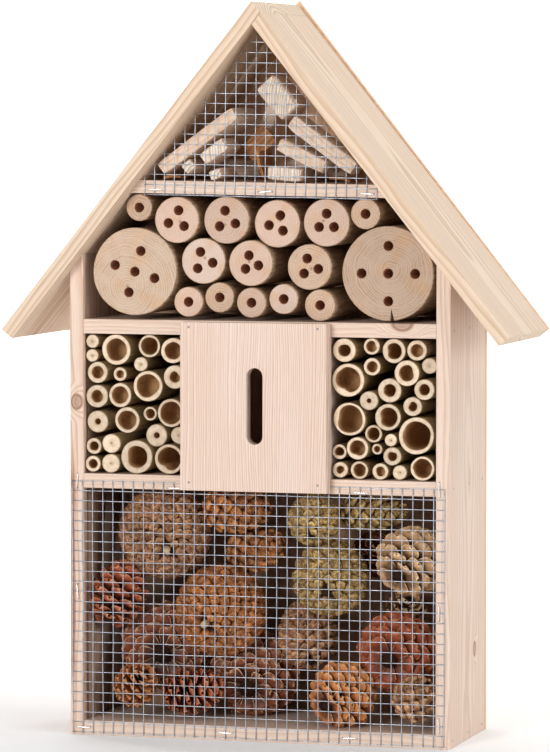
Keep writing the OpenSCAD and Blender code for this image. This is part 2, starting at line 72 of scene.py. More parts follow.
class Shader:
    """A new material, with short forms for its nodes."""

    def __init__(self, name, roughness=0.6, **sockets):
        self.material = bpy.data.materials.new(name)
        self.material.use_nodes = True
        self.tree = self.material.node_tree
        self.tree.nodes.clear()
        self.surface = self.tree.nodes.new("ShaderNodeBsdfPrincipled")
        output = self.tree.nodes.new("ShaderNodeOutputMaterial")
        self.tree.links.new(self.surface.outputs[0], output.inputs[0])
        self.colour = None
        self.set("Roughness", roughness)
        for socket, value in sockets.items():
            self.set(socket.replace("_", " "), value)

    def put(self, socket, value):
        if isinstance(value, bpy.types.NodeSocket):
            self.tree.links.new(value, socket)
        else:
            socket.default_value = value

    def set(self, socket, value):
        self.put(self.surface.inputs[socket], value)

    def node(self, kind, inputs, out=0, **settings):
        made = self.tree.nodes.new("ShaderNode" + kind)
        for key, value in settings.items():
            setattr(made, key, value)
        for key, value in inputs.items():
            self.put(made.inputs[key], value)
        return made.outputs[out]

    def attribute(self, name, out="Vector"):
        return self.node("Attribute", {}, out, attribute_name=name)

    def place(self):
        """Places on the object, in millimetres."""
        return self.vector("SCALE", self.node("TexCoord", {}, "Object"), scale=1 / MM)

    def grain(self):
        """The attribute "grain", in millimetres: along the wood, then twice across it, from its pith."""
        return self.vector("SCALE", self.attribute("grain"), scale=1 / MM)

    def math(self, operation, a, b=0.0):
        return self.node("Math", {0: a, 1: b}, operation=operation)

    def off(self, value, middle):
        """How far a value is from the middle, either way."""
        return self.math("ABSOLUTE", self.math("SUBTRACT", value, middle))

    def times(self, a, b):
        return self.math("MULTIPLY", a, b)

    def plus(self, a, b):
        return self.math("ADD", a, b)

    def vector(self, operation, a, b=(0, 0, 0), scale=1.0):
        return self.node("VectorMath", {0: a, 1: b, 3: scale}, operation=operation)

    def length(self, vector):
        return self.node("VectorMath", {0: vector}, 1, operation="LENGTH")

    def axes(self, vector):
        return [self.node("SeparateXYZ", {0: vector}, k) for k in range(3)]

    def join(self, x=0.0, y=0.0, z=0.0):
        return self.node("CombineXYZ", {0: x, 1: y, 2: z})

    def noise(self, vector, scale=1.0, detail=2.0, roughness=0.5):
        inputs = {"Vector": vector, "Scale": scale, "Detail": detail, "Roughness": roughness}
        return self.node("TexNoise", inputs)

    def stretched(self, vector, scales, detail=2.0, roughness=0.5):
        return self.noise(self.vector("MULTIPLY", vector, scales), 1.0, detail, roughness)

    def span(self, value, low, high, to_low=0.0, to_high=1.0):
        inputs = {0: value, 1: low, 2: high, 3: to_low, 4: to_high}
        return self.node("MapRange", inputs, interpolation_type="SMOOTHSTEP")

    def year_rings(self, radius, pitch, tone, uneven, drift, rise, peak, fall):
        """Bands of late wood. Each grows from rise to peak, as shares of a year's ring, and ends at fall."""
        widths = self.noise(self.join(self.times(radius, uneven / pitch), tone), 1.0, 1.0)
        cycle = self.plus(self.math("DIVIDE", radius, pitch), self.times(widths, drift))
        cycle = self.math("FRACT", cycle)
        return self.times(self.span(cycle, rise, peak), self.span(cycle, 1.0, fall))

    def mix(self, factor, a, b, blend="MIX"):
        made = self.tree.nodes.new("ShaderNodeMix")
        made.data_type = "RGBA"
        made.blend_type = blend
        for socket, value in ((0, factor), (6, a), (7, b)):
            if not isinstance(value, bpy.types.NodeSocket) and socket and len(value) == 3:
                value = (*value, 1)
            self.put(made.inputs[socket], value)
        return made.outputs[2]

    def grey(self, colour, cloud, *spans):
        """A colour, multiplied by a grey cloud that is spread over the spans."""
        amount = self.span(cloud, *spans)
        return self.mix(1.0, colour, self.join(amount, amount, amount), "MULTIPLY")

    def tint(self, other, cloud, low, high, share):
        """Turns some of the material's colour to another one where the cloud is thick."""
        self.colour = self.mix(self.span(cloud, low, high, 0.0, share), self.colour, other)

    def cover(self, other, share):
        """Turns a share of the material's colour to another one."""
        self.colour = self.mix(share, self.colour, other)

    def shade(self, cloud, *spans):
        self.colour = self.grey(self.colour, cloud, *spans)

    def finish(self, cloud, smooth, dull, relief, depth_mm, low=0.2, high=0.8):
        """Sets the colour so far, a roughness from smooth to dull that follows a cloud, and the relief."""
        self.set("Base Color", self.colour)
        self.set("Roughness", self.span(cloud, low, high, smooth, dull))
        bump = {"Strength": 1.0, "Distance": depth_mm * MM, "Height": relief}
        self.set("Normal", self.node("Bump", bump))
        return self.material


def softwood(name, pale, late, pitch, contrast, blotch, knots=(), end_tint=(0.80, 0.66, 0.50),
             painted_shade_box=None, resin=None):
    """Planed softwood, with year rings at a pitch in mm. The attribute "end" marks end grain.
    Each knot is its place in the grain and its radius, in mm."""
    s = Shader(name, Specular_IOR_Level=0.25)
    p = s.grain()
    x, y, z = s.axes(p)
    end = s.attribute("end", "Fac")
    bend = s.stretched(p, (0.007, 0.03, 0.03), 1.0)
    ripple = s.stretched(p, (0.03, 0.25, 0.25), 2.0)
    radius = s.length(s.join(0.0, y, z))
    radius = s.plus(radius, s.times(bend, 9.0))
    radius = s.plus(radius, s.times(ripple, 1.1))
    stain = 0.0
    for kx, ky, kz, size in knots:
        away = s.vector("SUBTRACT", p, (kx, ky, kz))
        away = s.length(s.vector("MULTIPLY", away, (0.75, 1, 1)))
        near = s.span(away, size * 3.2, 0.0)
        radius = s.plus(radius, s.times(near, 2.6 * size))
        rim = s.span(s.off(away, size), size * 0.45, 0.0)
        core = s.span(away, size * 1.1, size * 0.6, 0.0, 0.55)
        stain = s.math("MAXIMUM", stain, s.math("MAXIMUM", s.times(rim, 0.8), core))
    band = s.year_rings(radius, pitch, 0.0, 0.35, 2.2, 0.25, 0.92, 0.93)
    fibre = s.stretched(p, (0.06, 2.6, 2.6), 3.0, 0.6)
    fleck = s.stretched(p, (0.045, 5.0, 5.0), 2.0)
    patch = s.stretched(p, (0.006, 0.04, 0.04), 2.0)
    strength = s.times(band, s.span(patch, 0.25, 0.75, contrast * 0.55, contrast * 1.25))
    s.colour = s.mix(strength, pale, late)
    warm = tuple(c * k for c, k in zip(pale, (0.97, 0.90, 0.84)))
    s.tint(warm, patch, 0.35, 0.7, blotch)
    s.shade(fibre, 0.25, 0.8, 1.05, 0.90)
    s.tint(late, fleck, 0.64, 0.78, 0.35)
    if knots:
        s.cover((0.24, 0.10, 0.045), stain)
    saw = s.noise(p, 1.7, 3.0, 0.7)
    sawn = s.grey(s.mix(s.times(band, 0.75), end_tint, late), saw, 0.3, 0.75, 1.06, 0.80)
    s.cover(sawn, end)
    if resin:
        # a line of resin down the board's front edge: (across, from, to) in millimetres
        (across, _, up), (at, foot, top) = s.axes(s.place()), resin
        off = s.off(s.plus(across, s.times(ripple, 2.4)), at)
        line = s.times(s.span(off, 2.6, 0.5), s.span(up, foot, foot + 25))
        line = s.times(line, s.span(up, top, top - 30))
        s.cover((0.34, 0.13, 0.065), s.times(line, s.span(fibre, 0.3, 0.6, 0.45, 0.85)))
    if painted_shade_box:
        # painted shade: the board is darkened inside the box that the cones fill, where the chamber lies in
        # shade
        spots, share = s.axes(s.place()), 1.0
        for spot, a, b in zip(spots, *painted_shade_box):
            share = s.times(share, s.times(s.span(spot, a - 0.5, a), s.span(spot, b + 0.5, b)))
        s.cover((0.17, 0.085, 0.045), s.times(share, 0.72))
    relief = s.plus(s.times(fibre, 0.5), s.times(band, 0.35))
    relief = s.plus(relief, s.times(s.times(saw, end), 1.4))
    return s.finish(fibre, 0.52, 0.72, relief, 0.10)


def log_face(name, pale, late, pitch, ring_strength):
    """A sawn and sanded branch end: rings about the pith, speckle, saw lines and drying cracks."""
    s = Shader(name, Specular_IOR_Level=0.2)
    p = s.grain()
    x, y, z = s.axes(p)
    tone = s.attribute("tone", "Fac")
    flat = s.join(0.0, y, z)
    wobble = s.noise(flat, 0.09, 2.0)
    far = s.length(flat)
    radius = s.plus(far, s.times(wobble, 4.0))
    band = s.year_rings(radius, pitch, tone, 0.4, 1.8, 0.3, 0.9, 0.94)
    patchy = s.noise(flat, 0.12, 2.0)
    strength = s.span(patchy, 0.3, 0.7, 0.25 * ring_strength, ring_strength)
    s.colour = s.mix(s.times(band, strength), pale, late)
    s.tint((0.66, 0.40, 0.22), s.noise(flat, 0.07, 1.0), 0.5, 0.75, 0.45)
    grit = s.noise(flat, 1.9, 3.0, 0.75)
    s.shade(grit, 0.28, 0.72, 0.80, 1.12)
    s.tint((0.30, 0.15, 0.07), far, 1.3, 0.5, 0.7)
    angle = s.math("ARCTAN2", z, y)
    rays = s.noise(s.join(s.times(angle, 5.0), s.times(far, 0.03), tone), 3.0, 2.0)
    s.tint(late, rays, 0.60, 0.72, 0.35)
    s.shade(tone, 0.0, 1.0, 0.90, 1.04)
    slanted = s.plus(s.times(y, 0.6), s.times(z, 0.8))
    kerf = s.noise(s.join(s.times(slanted, 2.2), tone), 1.0, 1.0)
    relief = s.plus(s.times(grit, 0.8), s.times(kerf, 0.6))
    relief = s.plus(relief, s.times(band, 0.3))
    return s.finish(grit, 0.62, 0.85, relief, 0.16)


def peeled_side(name, pale, dark):
    """The peeled skin of a branch, streaked along its length."""
    s = Shader(name, Specular_IOR_Level=0.2)
    p = s.grain()
    streak = s.stretched(p, (0.05, 0.6, 0.6), 3.0, 0.6)
    fine = s.stretched(p, (0.12, 3.0, 3.0), 2.0)
    s.colour = s.mix(s.span(streak, 0.35, 0.7), pale, dark)
    s.shade(fine, 0.3, 0.75, 1.05, 0.85)
    return s.finish(fine, 0.5, 0.75, s.plus(streak, s.times(fine, 0.4)), 0.2)


def bore_wall(name, light, dark):
    """A drilled or natural bore: torn fibres and brown walls."""
    s = Shader(name, Specular_IOR_Level=0.1)
    p = s.place()
    torn = s.stretched(p, (2.0, 0.5, 2.0), 3.0, 0.7)
    s.colour = s.mix(s.span(torn, 0.3, 0.7), dark, light)
    return s.finish(torn, 0.75, 0.95, torn, 0.3)


def reed_end():
    """The cut ring of a reed, with a darker skin and vessels. "ring" is (share of the wall, tone, 0)."""
    s = Shader("reed_end", Specular_IOR_Level=0.2)
    p = s.place()
    outward, tone, _ = s.axes(s.attribute("ring"))
    vessels = s.noise(p, 2.8, 2.0, 0.7)
    broad = s.noise(p, 0.35, 2.0)
    s.colour = s.mix(s.span(broad, 0.35, 0.7), (0.82, 0.67, 0.51), (0.70, 0.54, 0.39))
    s.tint((0.52, 0.36, 0.20), outward, 0.62, 0.0, 0.30)
    s.tint((0.40, 0.26, 0.14), vessels, 0.56, 0.72, 0.55)
    s.tint((0.42, 0.31, 0.17), outward, 0.84, 1.0, 0.75)
    s.shade(tone, 0.0, 1.0, 0.86, 1.08)
    return s.finish(vessels, 0.55, 0.8, vessels, 0.12)


def reed_pith():
    """The soft filling of a thin reed."""
    s = Shader("reed_pith", Specular_IOR_Level=0.1)
    p = s.place()
    pores = s.noise(p, 3.2, 3.0, 0.7)
    s.colour = s.mix(s.span(pores, 0.35, 0.7), (0.74, 0.62, 0.45), (0.50, 0.37, 0.24))
    return s.finish(pores, 0.8, 0.95, pores, 0.15)


def reed_skin():
    """The weathered outside of a reed, striped along its length."""
    s = Shader("reed_skin", Specular_IOR_Level=0.4)
    p = s.place()
    stripe = s.stretched(p, (1.3, 0.04, 1.3), 3.0, 0.6)
    blot = s.stretched(p, (0.12, 0.03, 0.12), 2.0)
    s.colour = s.mix(s.span(blot, 0.35, 0.65), (0.20, 0.14, 0.06), (0.34, 0.21, 0.10))
    s.shade(stripe, 0.3, 0.75, 1.15, 0.65)
    return s.finish(stripe, 0.35, 0.6, stripe, 0.15)


def cone_shield(name, body, edge, umbo, rim):
    """A closed cone's shields, with painted shade along their margins. "scale" is (across, towards the tip,
    tone), each from -1 to 1.
    """
    s = Shader(name, Specular_IOR_Level=0.35)
    u, v, tone = s.axes(s.attribute("scale"))
    p = s.place()
    reach = s.length(s.join(u, v))
    angle = s.math("ARCTAN2", v, u)
    streak = s.noise(s.join(s.times(angle, 2.2), s.times(reach, 0.8), s.times(tone, 9.0)), 2.0, 3.0)
    mottle = s.noise(p, 0.55, 3.0, 0.65)
    fine = s.noise(p, 3.2, 2.0, 0.7)
    s.colour = s.mix(s.span(mottle, 0.3, 0.7), body, edge)
    s.shade(streak, 0.3, 0.7, 1.18, 0.72)
    lip = s.times(s.span(v, 0.1, 0.6), s.span(reach, 0.45, 0.75))
    s.cover(rim, s.times(lip, s.span(streak, 0.3, 0.7, 0.35, 0.95)))
    # painted shade: each shield's outer margin turns to the near-black edge colour, standing in for the shade
    # in the gaps between shields
    s.tint(edge, reach, 0.78, 0.95, 1.0)
    ring = s.span(s.off(reach, 0.17), 0.10, 0.0)
    s.cover(umbo, s.times(ring, 0.8))
    s.shade(tone, -1.0, 1.0, 0.74, 1.18)
    s.shade(fine, 0.3, 0.7, 1.06, 0.88)
    return s.finish(mottle, 0.42, 0.66, s.plus(streak, s.times(fine, 0.5)), 0.22)


def cone_scale(name, inner, outer, tip, rim):
    """An open cone's scales. "scale" is (across, from the axis to the tip, tone).
    The tone is below 0 on the side of the stalk."""
    s = Shader(name, Specular_IOR_Level=0.4)
    u, v, tone = s.axes(s.attribute("scale"))
    p = s.place()
    side = s.math("ABSOLUTE", u)
    grain = s.noise(s.join(s.times(u, 3.5), s.times(v, 0.7), s.times(tone, 7.0)), 2.5, 3.0)
    mottle = s.noise(p, 0.5, 3.0, 0.65)
    upper = s.span(tone, -0.05, 0.05)
    s.colour = s.mix(upper, outer, inner)
    s.shade(grain, 0.3, 0.7, 1.25, 0.7)
    s.tint(tip, v, 0.55, 0.85, 0.85)
    edge = s.math("MAXIMUM", s.span(side, 0.80, 0.97), s.span(v, 0.93, 0.99))
    s.cover(rim, s.times(edge, s.span(mottle, 0.35, 0.65, 0.25, 0.95)))
    # painted shade: the scales darken towards their roots, to 0.35 at the axis, deep among the other scales
    s.shade(v, 0.0, 0.5, 0.35, 1.0)
    s.shade(mottle, 0.3, 0.7, 0.82, 1.12)
    return s.finish(mottle, 0.34, 0.62, grain, 0.2)


def bark():
    """Orange-brown bark and straw."""
    s = Shader("bark", Specular_IOR_Level=0.25)
    p = s.grain()
    layer = s.stretched(p, (0.12, 0.9, 0.9), 3.0, 0.65)
    fine = s.stretched(p, (0.4, 3.0, 3.0), 3.0, 0.7)
    s.colour = s.mix(s.span(layer, 0.3, 0.7), (0.55, 0.26, 0.10), (0.26, 0.10, 0.04))
    s.tint((0.68, 0.42, 0.22), fine, 0.55, 0.75, 0.6)
    return s.finish(fine, 0.55, 0.85, s.plus(layer, fine), 0.4)


def metal(name, colour, stain, roughness, stain_scale, stain_share):
    """Wire, staple, nail or plate metal with uneven polish and some stain."""
    s = Shader(name, Metallic=1.0)
    p = s.place()
    cloud = s.noise(p, stain_scale, 3.0, 0.65)
    fine = s.noise(p, 6.0, 2.0)
    s.colour = colour
    s.tint(stain, cloud, 0.45, 0.75, stain_share)
    relief = s.plus(cloud, s.times(fine, 0.3))
    return s.finish(cloud, roughness * 0.8, min(1.0, roughness * 1.5), relief, 0.05, 0.3, 0.75)


# Mesh building

def cad_bmesh(node):
    """A CAD node's mesh, welded and with its flat faces whole."""
    bm = bmesh.new()
    bm.from_mesh(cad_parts[node].data)
    bmesh.ops.remove_doubles(bm, verts=bm.verts, dist=2e-6)
    bmesh.ops.dissolve_limit(bm, angle_limit=math.radians(0.4), verts=bm.verts, edges=bm.edges)
    return bm


def islands(bm, edges=None):
    """The vertices of each separate solid in a mesh, or of each loop of some of its edges."""
    allowed = set(bm.edges if edges is None else edges)
    seen, found = set(), []
    for start in bm.verts:
        if start in seen:
            continue
        group, queue = [], [start]
        seen.add(start)
        while queue:
            vert = queue.pop()
            group.append(vert)
            for edge in vert.link_edges:
                other = edge.other_vert(vert)
                if edge in allowed and other not in seen:
                    seen.add(other)
                    queue.append(other)
        found.append(group)
    return [group for group in found if len(group) > 1]


def corners(points):
    points = np.array([tuple(p) for p in points])
    return points.min(0), points.max(0)


def solids(node):
    """The points and the two corners of each separate solid in a CAD node."""
    bm = cad_bmesh(node)
    for group in islands(bm):
        points = [v.co.copy() for v in group]
        yield points, *corners(points)
    bm.free()


def put_attribute(mesh, name, domain, values):
    values = np.asarray(values, np.float32)
    kind, key = ("FLOAT_VECTOR", "vector") if values.ndim == 2 else ("FLOAT", "value")
    mesh.attributes.new(name, kind, domain).data.foreach_set(key, values.ravel())


def add_piece(name, mesh, materials, slot, nodes, smooth=False):
    """Links the mesh as a piece that stands for CAD nodes."""
    mesh.name = name
    for material in materials:
        mesh.materials.append(material)
    if smooth:
        mesh.shade_smooth()
    piece = bpy.data.objects.new(name, mesh)
    bpy.context.scene.collection.objects.link(piece)
    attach(piece, "root")
    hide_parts(*nodes)


def grain_frame(along, across, origin):
    """(origin, rows of axes) of a piece's grain: along it, then across it twice."""
    a = Vector(along).normalized()
    b = (Vector(across) - a * a.dot(Vector(across))).normalized()
    return np.array(origin, float), np.array([a, b, a.cross(b)])


def give_grain(mesh, grain):
    origin, axes = grain
    spots = np.array([v.co for v in mesh.vertices])
    put_attribute(mesh, "grain", "POINT", (spots - origin) @ axes.T)
    facing = np.abs(np.array([f.normal for f in mesh.polygons]) @ axes[0])
    put_attribute(mesh, "end", "FACE", facing > 0.7)


def eased(node, ease, least=5 * MM):
    """A CAD node's mesh, with its sharp edges rounded over where they are longer than the least."""
    bm = cad_bmesh(node)
    sharp = [
        e for e in bm.edges
        if len(e.link_faces) == 2 and e.calc_length() > least and e.calc_face_angle() > 0.35
    ]
    bmesh.ops.bevel(
        bm, geom=sharp, offset=ease, segments=2, profile=0.6, affect="EDGES", clamp_overlap=True
    )
    mesh = bpy.data.meshes.new(node)
    bm.to_mesh(mesh)
    bm.free()
    return mesh


def board(node, material, slot, along, across, pith, ease):
    mesh = eased(node, ease)
    give_grain(mesh, grain_frame(along, across, pith))
    add_piece(node + "_wood", mesh, [material], slot, [node])


def circle(x, z, radius, sides):
    """Points of a circle that faces the front: (across, up)."""
    turns = [TAU * k / sides for k in range(sides)]
    return [(x + radius * math.cos(turn), z + radius * math.sin(turn)) for turn in turns]


def sleeve(rings, sides, inside_out=False):
    """Faces between each two of some rings of vertices, which follow each other."""
    faces = []
    for r in range(rings - 1):
        for k in range(sides):
            a, b = r * sides + k, r * sides + (k + 1) % sides
            faces.append((b, a, a + sides, b + sides) if inside_out else (a, b, b + sides, a + sides))
    return faces


def fan(start, sides, tip, inside_out=False):
    """Faces from a ring of vertices to one tip."""
    pairs = [(start + k, start + (k + 1) % sides) for k in range(sides)]
    return [(b, a, tip) if inside_out else (a, b, tip) for a, b in pairs]


def face_outward(mesh, weld_gap=None):
    """The mesh with its normals outward, and welded if a gap is given."""
    bm = bmesh.new()
    bm.from_mesh(mesh)
    if weld_gap:
        bmesh.ops.remove_doubles(bm, verts=bm.verts, dist=weld_gap)
    bmesh.ops.recalc_face_normals(bm, faces=bm.faces)
    bm.to_mesh(mesh)
    bm.free()


def lattice(rows, columns, start=0, flipped=False):
    """Faces of a grid of vertices, which follow each other row by row."""
    faces, step = [], columns + 1
    for k in (start + row * step + column for row in range(rows) for column in range(columns)):
        faces.append((k, k + 1, k + step + 1, k + step) if flipped else (k, k + step, k + step + 1, k + 1))
    return faces


def tube(path, radius, sides):
    """Vertices and faces of a round bar along a path of points."""
    path = [Vector(p) for p in path]
    verts = []
    for k, point in enumerate(path):
        ahead = (path[min(k + 1, len(path) - 1)] - path[max(k - 1, 0)]).normalized()
        side = ahead.orthogonal() if k == 0 else (side - ahead * ahead.dot(side))
        side = side.normalized()
        up = ahead.cross(side)
        for j in range(sides):
            turn = TAU * j / sides
            verts.append(point + radius * (math.cos(turn) * side + math.sin(turn) * up))
    last = (len(path) - 1) * sides
    ends = [tuple(range(sides))[::-1], tuple(range(last, last + sides))]
    return verts, sleeve(len(path), sides) + ends


class Heap:
    """Several shapes gathered into one mesh, with attributes."""

    def __init__(self):
        self.verts, self.faces, self.slots = [], [], []
        self.points, self.areas = {}, {}

    def add(self, verts, faces, slots=0, points=None, areas=None):
        start = len(self.verts)
        self.verts += [tuple(v) for v in verts]
        self.faces += [tuple(start + i for i in f) for f in faces]
        self.slots += list(slots) if hasattr(slots, "__len__") else [slots] * len(faces)
        for key, values in (points or {}).items():
            self.points.setdefault(key, []).extend(values)
        for key, values in (areas or {}).items():
            self.areas.setdefault(key, []).extend(values)

    def mesh(self, name):
        mesh = bpy.data.meshes.new(name)
        mesh.from_pydata(self.verts, [], self.faces)
        mesh.polygons.foreach_set("material_index", self.slots)
        for group, domain in ((self.points, "POINT"), (self.areas, "FACE")):
            for key, values in group.items():
                put_attribute(mesh, key, domain, values)
        mesh.update()
        return mesh


def rough(point, scale, seed):
    """Smooth noise from -1 to 1 at a point."""
    return noise.noise(Vector(point) * scale + Vector((seed * 7.13, seed * 3.71, seed * 1.37)))


# Boards

PALE = (0.78, 0.62, 0.515)
LATE = (0.52, 0.33, 0.23)
ALONG_X, ALONG_Y, ALONG_Z = (1, 0, 0), (0, 1, 0), (0, 0, 1)

high = Vector(cad_box[1])
side_low, side_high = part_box("right_side_panel")
case_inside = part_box("left_side_panel")[1].x
shelf_low, shelf_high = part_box("middle_shelf")
front = side_low.y
half_case = side_high.x
chamber_low = Vector((case_inside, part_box("lower_mesh")[1].y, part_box("bottom_board")[1].z))
chamber_high = Vector((side_low.x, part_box("back_panel")[0].y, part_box("lower_shelf")[0].z))
# the same in millimetres, a little past its boards' surfaces, and short of their front edges: the box inside
# which the chamber's boards get painted shade
PAINTED_SHADE_BOX = (
    [c / MM + d for c, d in zip(chamber_low, (-0.5, 6, 0))],
    [c / MM + d for c, d in zip(chamber_high, (0.5, 0.5, 1))]
)
slope = math.radians(51.3)     # of the roof
down_right = (math.cos(slope), 0, -math.sin(slope))
down_left = (-math.cos(slope), 0, -math.sin(slope))

ROOF_PALE, ROOF_LATE = (0.765, 0.61, 0.47), (0.50, 0.31, 0.19)
shelf_wood = softwood("shelf_wood", PALE, LATE, 2.0, 0.5, 0.6)
right_wood = softwood("right_side_wood", PALE, LATE, 2.6, 0.6, 0.4, knots=[(67, 18, 30, 3.0)])
left_wood = softwood(
    "left_side_wood", PALE, (0.50, 0.27, 0.17), 2.4, 0.8, 0.6, knots=[(222, -46, -28.5, 3.2)], painted_shade_box=PAINTED_SHADE_BOX,
    resin=(-half_case / MM + 3, 25, 190)
)
knotted = softwood("middle_shelf_wood", PALE, LATE, 2.2, 0.5, 0.5, knots=[(492.5, -52, 42.5, 4.5)])
roof_wood = softwood("roof_wood", ROOF_PALE, ROOF_LATE, 3.0, 0.8, 0.6)
knotty_roof = softwood(
    "right_roof_wood", ROOF_PALE, ROOF_LATE, 3.0, 0.8, 0.6, knots=[(188, 60, -24.8, 2.0)]
)
back_wood = softwood("back_wood", (0.82, 0.54, 0.35), (0.60, 0.34, 0.19), 4.5, 0.6, 0.6,
                     end_tint=(0.60, 0.40, 0.24), painted_shade_box=PAINTED_SHADE_BOX)
front_wood = softwood("front_wood", (0.79, 0.63, 0.54), (0.52, 0.32, 0.23), 1.35, 0.75, 0.4)
# Each board: its wood, slot, grain, a second axis, and a point on the pith: x, from the front, z
for name, wood, slot, along, across, (x, deep, z) in (
    ("right_side_panel", right_wood, "pine_board", ALONG_Z, ALONG_Y, (half_case + 0.030, 0.046, -0.012)),
    ("left_side_panel", left_wood, "pine_board", ALONG_Z, ALONG_Y, (-half_case - 0.024, 0.046, -0.012)),
    ("bottom_board", shelf_wood, "pine_board", ALONG_X, ALONG_Y, (-0.4, 70 * MM, -34 * MM)),
    ("lower_shelf", shelf_wood, "pine_board", ALONG_X, ALONG_Y, (0.7, 20 * MM, shelf_low.z - 150 * MM)),
    ("middle_shelf", knotted, "pine_board", ALONG_X, ALONG_Y, (-0.4, 52 * MM, shelf_high.z - 42 * MM)),
    ("attic_floor", shelf_wood, "pine_board", ALONG_X, ALONG_Y, (0.2, 30 * MM, 0.40)),
    ("divider_left", shelf_wood, "pine_board", ALONG_Z, ALONG_Y, (-90 * MM, 40 * MM, 0)),
    ("divider_right", shelf_wood, "pine_board", ALONG_Z, ALONG_Y, (90 * MM, 40 * MM, 0)),
    ("roof_board_left", roof_wood, "roof_board", down_left, ALONG_Y, (0, 30 * MM, high.z - 60 * MM)),
    ("roof_board_right", knotty_roof, "roof_board", down_right, ALONG_Y, (0, 40 * MM, high.z + 40 * MM)),
):
    board(name, wood, slot, along, across, (x, front + deep, z), 0.5 * MM)
board("back_panel", back_wood, "back_board", ALONG_Z, ALONG_X, (-0.06, high.y + 55 * MM, 0), 0.4 * MM)
front_pith = (-0.14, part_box("butterfly_panel")[0].y - 30 * MM, 0)
board("butterfly_panel", front_wood, "front_board", ALONG_Z, ALONG_X, front_pith, 0.6 * MM)


# Drilled logs

def rim_loops(bm, level):
    """Centre and radius of each circle of sharp edges in the front plane, the widest first."""
    flat = [
        e for e in bm.edges
        if all(abs(v.co.y - level) < 1e-6 for v in e.verts) and len(e.link_faces) == 2
        and e.calc_face_angle() > 0.5
    ]
    loops = []
    for group in islands(bm, flat):
        a, b = corners(v.co for v in group)
        loops.append(((a[0] + b[0]) / 2, (a[2] + b[2]) / 2, (b[0] - a[0]) / 2))
    return sorted(loops, key=lambda loop: -loop[2])


def log_outline(cx, cz, radius, count, seed, crack):
    """Points round a slightly uneven branch. A crack is its angle and its depth."""
    shares = []
    for k in range(count):
        turn = TAU * k / count
        lobe = rough((math.cos(turn), math.sin(turn), 0), 1.1, seed)
        shares.append(0.985 + 0.015 * lobe)
        if crack and abs((turn - crack[0] + math.pi) % TAU - math.pi) < 0.6 * TAU / count:
            shares[-1] = 1 - crack[1] / radius
    return [(cx + x * share, cz + z * share) for share, (x, z) in zip(shares, circle(0, 0, radius, count))]


